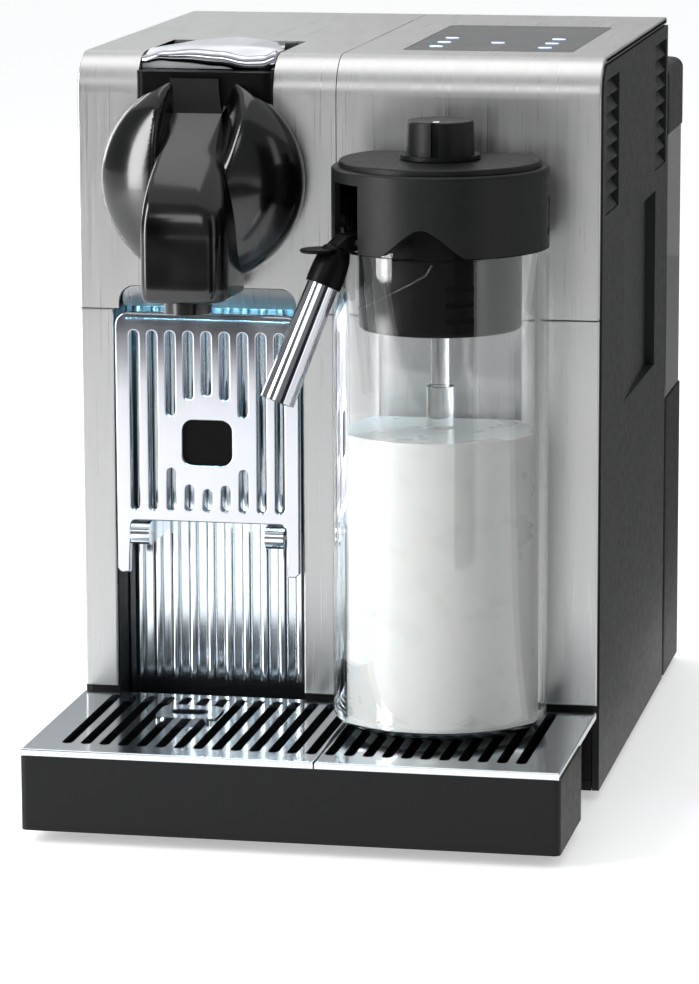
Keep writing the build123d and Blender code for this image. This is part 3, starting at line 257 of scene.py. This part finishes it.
grained_black = grained_plastic("abs_black_spark_eroded", ("#09090A", "#0F0F10"), 0.5)
dress(grained_black, "base_pan", "bulkhead", "rear_wall", "tank_seat")

rubber = grained_plastic("nitrile_rubber_moulded", ("#0C0C0C", "#151515"), 0.75, 1.2, 0.04)
dress(rubber, "feet", "tank_valve")

zinc_steel = uneven(
    "steel_zinc_plated", (0.5, 0.5, 4), (0.22, 0.36), ("#A9ABAC", "#C4C5C4"), metallic=1.0
)
dress(zinc_steel, "housing_screws", "lever_pin", "cup_support_pins", "spout_pin")

# ---- Aluminium skin -----------------------------------------------------------------
# Two bent sheets and two lower panels of 2.5 mm aluminium, brushed from front to back
# in one direction before bending and clear anodised. The grain runs down the front.

# The brush lines are about 0.1 mm wide and are drawn 0.35 mm wide, so that they show.
brush_line = (0.35, 45, 45)
brushed = uneven(
    "aluminium_brushed_anodised",
    brush_line,
    (0.27, 0.4),
    ("#BABAB9", "#C6C6C5"),
    relief=(0.0012, brush_line),
    detail=3.0,
    metallic=1.0,
    anisotropic=0.55,
)
tree = brushed.node_tree
surface = node(tree, "ShaderNodeNewGeometry")
crosswise = {"operation": "CROSS_PRODUCT", 1: (1, 0, 0)}
along = node(tree, "ShaderNodeVectorMath", crosswise, {0: (surface, "Normal")})
tree.links.new(along.outputs["Vector"], tree.nodes["Principled BSDF"].inputs["Tangent"])
dress(brushed, "top_shell_left", "top_shell_right", "front_panel_left", "front_panel_right")
dress(brushed, "column_header")

# ---- Touch panel --------------------------------------------------------------------
# A flush sheet of smoked acrylic over the control board. Its lit symbols are printed on
# the underside and shine pale blue.

acrylic = uneven(
    "acrylic_smoked_polished", (25, 25, 25), (0.16, 0.24), ("#535455", "#5C5D5E"), ior=1.49
)
dress(acrylic, "touch_panel")

icon_glow = uneven(
    "acrylic_lit_symbol",
    (2, 2, 2),
    (0.35, 0.45),
    ("#BFD4F2", "#D9E7FA"),
    emission_color="#BBD6FF",
    emission_strength=1.4,
)
dress(icon_glow, "touch_icons")

# ---- Side panels --------------------------------------------------------------------
# Black-grey ABS mouldings with a matt grain, slid behind the edge of the skin. Air goes
# through the saw-toothed louvres, and the wedge is the hand grip for carrying.

side_grey = grained_plastic("abs_graphite_grained", ("#1E1F20", "#232425"), 0.46, 0.5, 0.04)
dress(side_grey, "side_panel_left", "side_panel_right", "louvres_front", "louvres_rear")

# ---- Brewing head -------------------------------------------------------------------
# The neck, the domed disc and the spout are black ABS polished in the mould, which
# mirrors the lamps sharply. The cage and the brass piston sit behind them.

near_black = ("#030303", "#050505")
piano = uneven(
    "abs_black_high_gloss",
    (14, 14, 14),
    (0.13, 0.2),
    near_black,
    ior=1.54,
    coat_weight=0.2,
    coat_roughness=0.05,
)
dress(piano, "brew_disc", "coffee_spout", "coffee_nozzle")
dress(grained_black, "brew_cage")

satin_black = uneven("abs_black_satin", (3, 3, 3), (0.35, 0.45), near_black, specular_ior_level=0.1)
dress(satin_black, "head_housing", "froth_body")


def box_mm(name):
    """Lowest and highest corner of a CAD node, in millimetres."""
    return [corner * 1000 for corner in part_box(name)]


def smooth_step(low, high, value):
    """0 below low, 1 above high and an even ease between them."""
    t = min(1.0, max(0.0, (value - low) / (high - low)))
    return t * t * (3 - 2 * t)


def vertex_rows(grid, rows):
    """The same rows, in millimetres, as new vertices in metres."""
    return [[grid.verts.new(Vector(point) / 1000) for point in row] for row in rows]


def sheet_faces(grid, rows, closed=False):
    """Joins rows of vertices, each as long as the others, by quads; closed joins their ends."""
    for low, high in zip(rows, rows[1:]):
        count = len(low)
        for k in range(count if closed else count - 1):
            n = (k + 1) % count
            grid.faces.new((low[k], low[n], high[n], high[k]))


def closed_solid(grid, rings):
    """The skin over a stack of rings of points in millimetres, and its two flat ends."""
    rings = vertex_rows(grid, rings)
    sheet_faces(grid, rings, closed=True)
    grid.faces.new(rings[0])
    grid.faces.new(rings[-1])


disc_low, disc_high = box_mm("brew_disc")
disc_r = (disc_high.x - disc_low.x) / 2
disc_x, disc_z = (disc_low.x + disc_high.x) / 2, disc_low.z + disc_r
panel_y = disc_high.y


def lobed_disc(grid):
    rim, valley_floor, thinnest = 6.0, 2.0, 1.6
    swell = disc_high.y - disc_low.y - rim
    # Where the valley between the two lobes begins and is whole, up from the centre and in
    # from each side, and how far its two walls lean to the right as they rise.
    valley_foot, left_wall, right_wall = (-8, 26), (-15.5, -9.5), (-1.0, 13.0)
    left_lean, right_lean = 0.05, 0.25
    rings, steps = 40, 144

    def proud(x, z):
        """How far the disc stands out of the panel at a place on it."""
        out = math.hypot(x, z) / disc_r
        dome = rim + swell * max(0.0, 1 - out**2.2) ** 0.55
        past_left = smooth_step(*left_wall, x - left_lean * z)
        before_right = 1 - smooth_step(*right_wall, x - right_lean * z)
        valley = (dome - valley_floor) * past_left * before_right * smooth_step(*valley_foot, z)
        return max(thinnest, dome - valley)

    turns = [2 * math.pi * k / steps for k in range(steps)]
    rows = []
    for ring in range(1, rings + 1):
        r = disc_r * math.sin(math.pi / 2 * ring / rings)
        spots = [(r * math.cos(a), r * math.sin(a)) for a in turns]
        rows.append([(disc_x + x, panel_y - proud(x, z), disc_z + z) for x, z in spots])
    shoulder, foot = 0.4, 0.99
    rows.append([(x, panel_y - (panel_y - y) * shoulder, z) for x, y, z in rows[-1]])
    foot_r = disc_r * foot
    rows.append([(disc_x + foot_r * math.cos(a), panel_y, disc_z + foot_r * math.sin(a)) for a in turns])
    closed_solid(grid, rows)


disc = mesh_piece("brewing_disc", lobed_disc, piano, 60)
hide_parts("brew_disc")
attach(disc, "housing")

boss_low, boss_high = box_mm("coffee_spout")


def spout_boss(grid):
    bottom, brow, deep = boss_low.z, disc_z + 37, boss_high.y
    lean_back, left_taper, right_taper = 41.0, 4.0, 9.0
    left_round, right_round = 3.2, 9.0
    # (how far the edge is pulled in, height over the bottom) of the lowest levels
    bottom_edge = ((1.6, 0.0), (0.6, 0.5), (0.15, 1.5))
    levels, quarter = 44, 8
    turns = [math.pi / 2 * k / quarter for k in range(quarter + 1)]
    rows = []
    for level in range(levels + 1):
        t = level / levels
        z = bottom + (brow - bottom) * t
        rise = smooth_step(0.3, 1.0, t)
        reach = boss_low.y + lean_back * smooth_step(0.28, 1.0, t) ** 1.4
        left = boss_low.x + left_taper * rise
        right = boss_high.x - right_taper * rise
        if level < len(bottom_edge):
            pull, height = bottom_edge[level]
            left, right, reach = left + pull, right - pull, reach + pull
            z = bottom + height
        sharp = min(left_round, (deep - reach) * 0.45)
        soft = min(right_round, (deep - reach) * 0.6)
        row = [(right, deep, z)]
        row += [(right - soft * (1 - math.cos(a)), reach + soft * (1 - math.sin(a)), z) for a in turns]
        row += [(left + sharp * (1 - math.sin(a)), reach + sharp * (1 - math.cos(a)), z) for a in turns]
        row.append((left, deep, z))
        rows.append(row)
    closed_solid(grid, rows)


boss = mesh_piece("coffee_spout_boss", spout_boss, piano, 50)
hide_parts("coffee_spout")
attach(boss, "housing")

brass = uneven("brass_turned", (6, 0.4, 6), (0.18, 0.3), ("#B8923F", "#CBA95A"), metallic=1.0)
dress(brass, "brew_piston")

# ---- Lever --------------------------------------------------------------------------
# A crowned tongue of satin anodised aluminium, pressed from sheet, which narrows towards
# its hinge. A chrome-plated bead is folded over its wavy nose for the fingers.

satin = uneven(
    "aluminium_satin_anodised", (8, 30, 30), (0.3, 0.36), ("#ECEEF4", "#F3F4F8"), metallic=1.0
)
dress(satin, "lever_plate")

plate_low, plate_high = box_mm("lever_plate")
lever_x = (plate_low.x + plate_high.x) / 2
nose_y, tail_y = plate_low.y, plate_high.y
tongue_half = (plate_high.x - plate_low.x) / 2
nose_top = plate_high.z - 1.9
# (x from the middle, height over nose_top) of the nose's wavy top edge
nose_wave = [(-25, -1.2), (-17, 0.5), (-6, 1.1), (4, 0.5), (14, -1.1), (20, -0.9), (25, 0.8)]


def along_curve(points, x):
    """Height at x of a curve through (x, height) points, eased from one to the next."""
    for (x0, z0), (x1, z1) in zip(points, points[1:]):
        if x <= x1:
            return z0 + (z1 - z0) * smooth_step(x0, x1, x)
    return points[-1][1]


def tongue(grid):
    straight, round_end = nose_y + 14, tail_y - 9
    taper, thick, roll_length = 8.0, 1.6, 15
    edge_crown, middle_crown = 0.9, 0.3
    columns, lengths = 32, 36

    def half_width(y):
        if y <= straight:
            return tongue_half
        narrow = tongue_half - taper * (min(y, round_end) - straight) / (round_end - straight)
        if y <= round_end:
            return narrow
        return narrow * math.sqrt(max(0.0, 1 - ((y - round_end) / (tail_y - round_end)) ** 2))

    top, under = [], []
    for k in range(lengths + 1):
        y = nose_y + (tail_y - nose_y) * (1 - (1 - k / lengths) ** 1.6)
        roll_over = 1 - smooth_step(0, roll_length, y - nose_y)
        row, low_row = [], []
        for c in range(columns + 1):
            side = 2 * c / columns - 1
            x = side * max(half_width(y), 0.4)
            crown = plate_high.z - edge_crown * side**4 - middle_crown * side**2
            nose = nose_top + along_curve(nose_wave, x)
            z = min(crown, crown + (nose - crown) * roll_over)
            row.append((lever_x + x, y, z))
            low_row.append((lever_x + x, y, min(z - thick, plate_low.z + 0.6)))
        top.append(row)
        under.append(low_row)
    top = vertex_rows(grid, top)
    under = vertex_rows(grid, under)
    sheet_faces(grid, top)
    sheet_faces(grid, under)
    for end in (0, -1):
        sheet_faces(grid, ([row[end] for row in top], [row[end] for row in under]))
        sheet_faces(grid, (top[end], under[end]))


lever_tongue = mesh_piece("lever_tongue", tongue, satin, 50)
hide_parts("lever_plate")
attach(lever_tongue, "lever")

chrome = uneven(
    "chrome_polished_plate", (18, 18, 18), (0.07, 0.12), ("#BFC1C8", "#CDCFD5"), metallic=1.0
)
dress(chrome, "lever_lip", "cup_support", "spout_tube")


def wavy_lip(grid):
    # (forward of the nose, share of the lip's height below its top) round the bead's section
    bead = [(-1.5, -0.12), (0.4, -0.1), (1.4, 0.05), (2.0, 0.3), (2.2, 0.6)]
    bead += [(1.6, 0.9), (0.6, 1.0), (-2.6, 0.9), (-2.6, 0.1)]
    lip_height, more_middle, more_right, back_off = 2.6, 2.2, 0.8, 1.2
    columns = 60
    rows = []
    for c in range(columns + 1):
        side = 2 * c / columns - 1
        x = side * (tongue_half - 0.2)
        y = nose_y + back_off * side**6
        z = nose_top + along_curve(nose_wave, x)
        deep = lip_height + more_middle * smooth_step(-1.0, 0.0, side)
        deep += more_right * smooth_step(0.2, 0.9, side)
        rows.append([(lever_x + x, y - forward, z - share * deep) for forward, share in bead])
    closed_solid(grid, rows)


lever_bead = mesh_piece("lever_chrome_bead", wavy_lip, chrome, 55)
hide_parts("lever_lip")
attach(lever_bead, "lever")

# ---- Coffee column ------------------------------------------------------------------
# Ribbed stainless steel behind the cup, lit from above by a strip of blue-white diodes,
# and the chrome-plated cup support in front of it, which folds down on two pins.

stainless = uneven(
    "stainless_steel_polished", (0.5, 0.5, 30), (0.1, 0.18), ("#D6DEE4", "#E4EAEE"), metallic=1.0
)
dress(stainless, "backsplash", "grid_left", "grid_right")

support_low, support_high = box_mm("cup_support")
support_x = (support_low.x + support_high.x) / 2
slots, slot_wide, slot_border = 9, 4.4, 4.88
slot_step = (support_high.x - support_low.x - 2 * slot_border - slot_wide) / (slots - 1)
cross_low, legs_wide = support_low.z + 19.7, 5.0
window_z, window_boss = cross_low + 29.8, 16.0


def arc_points(x, z, radius, start, turn, steps=8):
    """Points on an arc about (x, z), angles in degrees."""
    angles = (math.radians(start + turn * k / steps) for k in range(steps + 1))
    return [(x + radius * math.cos(a), z + radius * math.sin(a)) for a in angles]


def rounded_box(x, z, half_wide, half_tall, radius, steps=8):
    """Outline of a rectangle about (x, z) with round corners."""
    outline = []
    for n, (side, up) in enumerate(((1, 1), (-1, 1), (-1, -1), (1, -1))):
        corner = (x + side * (half_wide - radius), z + up * (half_tall - radius))
        outline += arc_points(*corner, radius, 90 * n, 90, steps)
    return outline


def upright_slot(x, low, high):
    """Outline of an upright slot with round ends."""
    r = slot_wide / 2
    return arc_points(x, high - r, r, 0, 180) + arc_points(x, low + r, r, 180, 180)


def cup_support_outlines(edge):
    """Outer edge, slots and window of the support from the front, drawn in by its round edge."""
    left, right, top = support_low.x + edge, support_high.x - edge, support_high.z - edge
    feet, bar = support_low.z + edge, cross_low + edge
    corner_r, inner_r, foot_cut, leg_slope = 4.2, 2.5, 1, 1.5
    outer = arc_points(left + corner_r, top - corner_r, corner_r, 180, -90)
    outer += arc_points(right - corner_r, top - corner_r, corner_r, 90, -90)
    outer += [(right, feet + foot_cut), (right - foot_cut, feet), (right - legs_wide + leg_slope, feet)]
    outer += arc_points(right - legs_wide - leg_slope, bar - inner_r, inner_r, 0, 90, 4)
    outer += arc_points(left + legs_wide + leg_slope, bar - inner_r, inner_r, 90, 90, 4)
    outer += [(left + legs_wide - leg_slope, feet), (left + foot_cut, feet), (left, feet + foot_cut)]
    outlines = [outer, rounded_box(support_x, window_z, 9.85, 8.95, 4.5)]
    low, high = cross_low + 3.7, support_high.z - 6.0
    for k in range(slots):
        off = (k - (slots - 1) / 2) * slot_step
        x = support_x + off
        if abs(off) < window_boss:
            half = math.sqrt(window_boss**2 - off**2) + 1.0
            outlines.append(upright_slot(x, low, window_z - half))
            outlines.append(upright_slot(x, window_z + half, high))
        else:
            outlines.append(upright_slot(x, low, high))
    return outlines


edge_round = 0.5
pattern = bpy.data.curves.new("cup_support_outline", "CURVE")
pattern.dimensions = "2D"
pattern.fill_mode = "BOTH"
pattern.extrude = (support_high.y - support_low.y) / 2000 - edge_round / 1000
pattern.bevel_depth = edge_round / 1000
pattern.bevel_resolution = 3
for outline in cup_support_outlines(edge_round):
    line = pattern.splines.new("POLY")
    line.points.add(len(outline) - 1)
    for spot, (x, z) in zip(line.points, outline):
        spot.co = (x / 1000, z / 1000, 0, 1)
    line.use_cyclic_u = True
drawn = bpy.data.objects.new("cup_support_outline", pattern)
scene.collection.objects.link(drawn)
bpy.context.view_layer.update()
pressed = bpy.data.meshes.new_from_object(drawn.evaluated_get(bpy.context.evaluated_depsgraph_get()))
bpy.data.objects.remove(drawn)


def pressed_plate(grid):
    grid.from_mesh(pressed)
    middle = (support_low.y + support_high.y) / 2000
    bmesh.ops.remove_doubles(grid, verts=grid.verts, dist=1e-6)
    for vert in grid.verts:
        vert.co = Vector((vert.co.x, middle - vert.co.z, vert.co.y))


support_plate = mesh_piece("cup_support_plate", pressed_plate, chrome, 50)
for face in support_plate.data.polygons:
    face.use_smooth = abs(face.normal.y) < 0.99
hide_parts("cup_support")
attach(support_plate, "cup_support")


# Painted shade: a black plate fills the support's window, where the ribbed steel behind it lies in
# shade.
def window_shade_fill(grid):
    corners = rounded_box(support_x, window_z, 9.4, 8.5, 4.2)
    front, back = support_low.y + 1.6, support_low.y + 2.6
    closed_solid(grid, [[(x, y, z) for x, z in corners] for y in (front, back)])


shade_fill = mesh_piece("cup_support_window_shade_fill", window_shade_fill, satin_black, 40)
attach(shade_fill, "cup_support")

diodes = uneven(
    "acrylic_lit_diffuser",
    (3, 3, 3),
    (0.35, 0.45),
    ("#9FD8EA", "#C4ECF7"),
    emission_color="#8FDCF2",
    emission_strength=6.0,
)
dress(diodes, "column_light")

strip_low, strip_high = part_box("column_light")
strip_x = (strip_low.x + strip_high.x) / 2
glow_from = (strip_x, strip_low.y - 0.009, strip_low.z - 0.0047)
glow_to = (strip_x, strip_low.y + 0.0075, strip_low.z - 0.1307)
glow_size = (strip_high.x - strip_low.x + 0.002, 0.008)
soft_lamp("column_glow", glow_from, glow_to, glow_size, 0.5, "#8FD8F5")

# ---- Drip tray ----------------------------------------------------------------------
# A black moulded fascia and drip bin carry two pressed stainless steel grids. The used
# pods fall into the bin behind the ribbed column, and it all pulls out as one drawer.

dress(grained_black, "tray_fascia", "drip_bin", "pod_bin")

# ---- Milk jug -----------------------------------------------------------------------
# A clear copolyester jug under a charcoal polypropylene lid that holds the frother. The
# knob on the lid sets the froth, and the clear pipe draws the milk up from the bottom.

lid_black = grained_plastic("pp_charcoal_fine_grain", ("#0B0C0D", "#121314"), 0.42, 0.45)
dress(lid_black, "jug_lid", "spout_arm", "jug_top_plate", "froth_knob", "jug_plug")
dress(lid_black, "release_button_left", "release_button_right", "steam_connector")
dress(lid_black, "mains_inlet", "tank_lid")


def clear_plastic(name, colour, roughness):
    """See-through moulded plastic that lets lamps through to what is inside it."""
    spread = (roughness, roughness + 0.02)
    made = uneven(name, (30, 30, 30), spread, colour, transmission_weight=1.0, ior=1.5)
    tree = made.node_tree
    shader = tree.nodes["Principled BSDF"]
    clear = node(tree, "ShaderNodeBsdfTransparent", {"Color": linear(colour)})
    path = node(tree, "ShaderNodeLightPath")
    sources = {0: (path, "Is Shadow Ray"), 1: (shader, "BSDF"), 2: (clear, "BSDF")}
    mixed = node(tree, "ShaderNodeMixShader", links=sources)
    tree.links.new(mixed.outputs["Shader"], tree.nodes["Material Output"].inputs["Surface"])
    return made


jug_clear = clear_plastic("copolyester_clear_moulded", "#FBFCFC", 0.01)
dress(jug_clear, "jug_glass", "milk_pipe")

frother_low, frother_high = box_mm("froth_body")
frother_x = (frother_low.x + frother_high.x) / 2
frother_r = (frother_high.x - frother_low.x) / 2
frother_y = frother_low.y + frother_r


def round_bead(grid, route, radius, sides=8):
    """A thin round bead along a list of points in millimetres, with closed ends."""
    turns = [2 * math.pi * n / sides for n in range(sides)]
    rows = []
    for k, point in enumerate(route):
        ahead = Vector(route[min(k + 1, len(route) - 1)]) - Vector(route[max(k - 1, 0)])
        upright = abs(ahead.normalized().z) >= 0.95
        across = ahead.cross(Vector((1, 0, 0)) if upright else Vector((0, 0, 1))).normalized()
        up = across.cross(ahead).normalized()
        rows.append([Vector(point) + radius * (math.cos(a) * across + math.sin(a) * up) for a in turns])
    closed_solid(grid, rows)


def ramp_edge(grid):
    # (x from the frother's axis, height above its lower end), up the foam ramp
    guide = [(-28.6, 6.9), (-25, 7.6), (-14.7, 13.8), (-5, 19.0), (0.4, 22.4), (2.3, 26.0), (2.4, 30.0)]
    parts, ramp_top, bead_r = 5, 26.5, 0.45
    route = []
    for (x0, z0), (x1, z1) in zip(guide, guide[1:]):
        for k in range(parts):
            x, z = x0 + (x1 - x0) * k / parts, z0 + (z1 - z0) * k / parts
            if z < ramp_top:
                y = frother_y - math.sqrt(frother_r**2 - x**2)
                route.append((frother_x + x, y, frother_low.z + z))
    round_bead(grid, route, bead_r)


ramp = mesh_piece("frother_ramp_edge", ramp_edge, piano, 60)
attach(ramp, "jug")

print_white = uneven("ink_white_pad_printed", (1, 1, 1), (0.45, 0.6), ("#DADADA", "#ECECEC"))
knob_low, knob_high = box_mm("froth_knob")


def knob_mark(grid):
    x, front = (knob_low.x + knob_high.x) / 2, knob_low.y + 4.2
    half, neck, tip = 1.1, front + 3.4, front + 4.2
    outline = [(x - half, front), (x + half, front), (x + half, neck), (x, tip), (x - half, neck)]
    under, over = knob_high.z - 0.1, knob_high.z + 0.12
    closed_solid(grid, [[(px, py, z) for px, py in outline] for z in (under, over)])


mark = mesh_piece("froth_knob_mark", knob_mark, print_white, 30)
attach(mark, "froth_knob")

# Painted shade: the milk's colour is a grey well below milk white, darkened to the dimmer look of the
# milk inside the jug.
milk_painted_grey = uneven(
    "milk_whole_painted_shade",
    (12, 12, 12),
    (0.25, 0.35),
    ("#B4B5B3", "#BDBDBB"),
    ior=1.35,
    subsurface_weight=0.25,
    subsurface_scale=0.004,
)
dress(milk_painted_grey, "milk")

# ---- Milk spout arm -----------------------------------------------------------------
# A black moulded arm: a round collar over the top of the tube, a thumb flange above it and
# a lug that turns on a steel pin in the lid's recess.

tilt = next(joint for joint in frame["joints"] if joint["name"] == "milk_spout_tilt")
across = Vector(tilt["axis"])
outward = Vector((-across.y, across.x, 0))
up = Vector((0, 0, 1))
pin_low, pin_high = box_mm("spout_pin")
pivot = (pin_low + pin_high) / 2
tube_root = pivot + 10.5 * outward - 12.5 * up
tube_tip = pivot + 30.0 * outward - 54.5 * up
down = (tube_tip - tube_root).normalized()


def ring_about(centre, axis, wide, deep, steps=32):
    """Points on an ellipse about an axis; wide lies across the arm."""
    other = axis.cross(across).normalized()
    turns = (2 * math.pi * k / steps for k in range(steps))
    return [centre + wide * math.cos(a) * across + deep * math.sin(a) * other for a in turns]


def arm_moulding(grid):
    # (mm down the tube from its root, radius across, radius outward) of the collar's rings
    collar = [(2.6, 5.9, 5.9), (2.6, 6.4, 6.4), (0, 6.5, 6.5), (-4, 6.6, 6.3)]
    collar += [(-8, 6.4, 5.8), (-11, 5.6, 4.8), (-12, 4.4, 3.6)]
    closed_solid(grid, [ring_about(tube_root + down * s, down, wide, deep) for s, wide, deep in collar])
    # (height, half width, half length) of the thumb flange's rings, a little dished
    flange = [(-0.8, 4.8, 6.0), (-0.7, 5.7, 7.0), (-0.1, 6.2, 7.5)]
    flange += [(0.5, 5.9, 7.1), (0.6, 5.0, 6.1), (0.3, 3.0, 3.6)]
    flange_at = pivot + 12.6 * outward - 2.1 * up
    closed_solid(grid, [ring_about(flange_at + h * up, up, wide, deep) for h, wide, deep in flange])
    # (outward, half width, low, high) of the lug's sections, from inside the recess to the collar
    lug = [(-3.0, 4.2, -1.2, 3.2), (-1.4, 4.4, -3.0, 3.4), (4.0, 4.4, -3.1, 2.6), (9.0, 4.4, -8.0, -1.6)]
    rows = []
    for out, half, low, high in lug:
        section = rounded_box(0, (low + high) / 2, half, (high - low) / 2, 0.8, 4)
        rows.append([pivot + out * outward + x * across + z * up for x, z in section])
    closed_solid(grid, rows)


spout_moulding = mesh_piece("spout_arm_moulding", arm_moulding, satin_black, 50)
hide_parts("spout_arm")
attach(spout_moulding, "milk_spout")

# ---- Water tank ---------------------------------------------------------------------
# Injection-moulded smoked copolyester, open at the top under its hinged lid. It stands
# on the tank seat at the back, and its valve opens as it is set down.

tank_smoke = clear_plastic("copolyester_smoked_moulded", "#484C50", 0.05)
dress(tank_smoke, "water_tank")

# ---- Inner machinery ----------------------------------------------------------------
# Behind the bulkhead are the die-cast boiler, the pump, the flow meter and two circuit
# boards, joined by hoses of extruded silicone.

cast_grain = (1.5, 1.5, 1.5)
cast = uneven(
    "aluminium_die_cast",
    cast_grain,
    (0.45, 0.65),
    ("#8E9092", "#A6A8A9"),
    relief=(0.05, cast_grain),
    metallic=1.0,
)
dress(cast, "boiler")
dress(grained_black, "pump", "flow_meter")

board_green = uneven(
    "epoxy_board_solder_mask", (4, 4, 4), (0.25, 0.4), ("#0F4A2A", "#17603A"), ior=1.5
)
dress(board_green, "control_board", "power_board")

silicone = grained_plastic("silicone_hose_extruded", ("#C9CAC6", "#DADAD6"), 0.4, 1.5, 0.02)
dress(silicone, "steam_pipe", "water_hose")
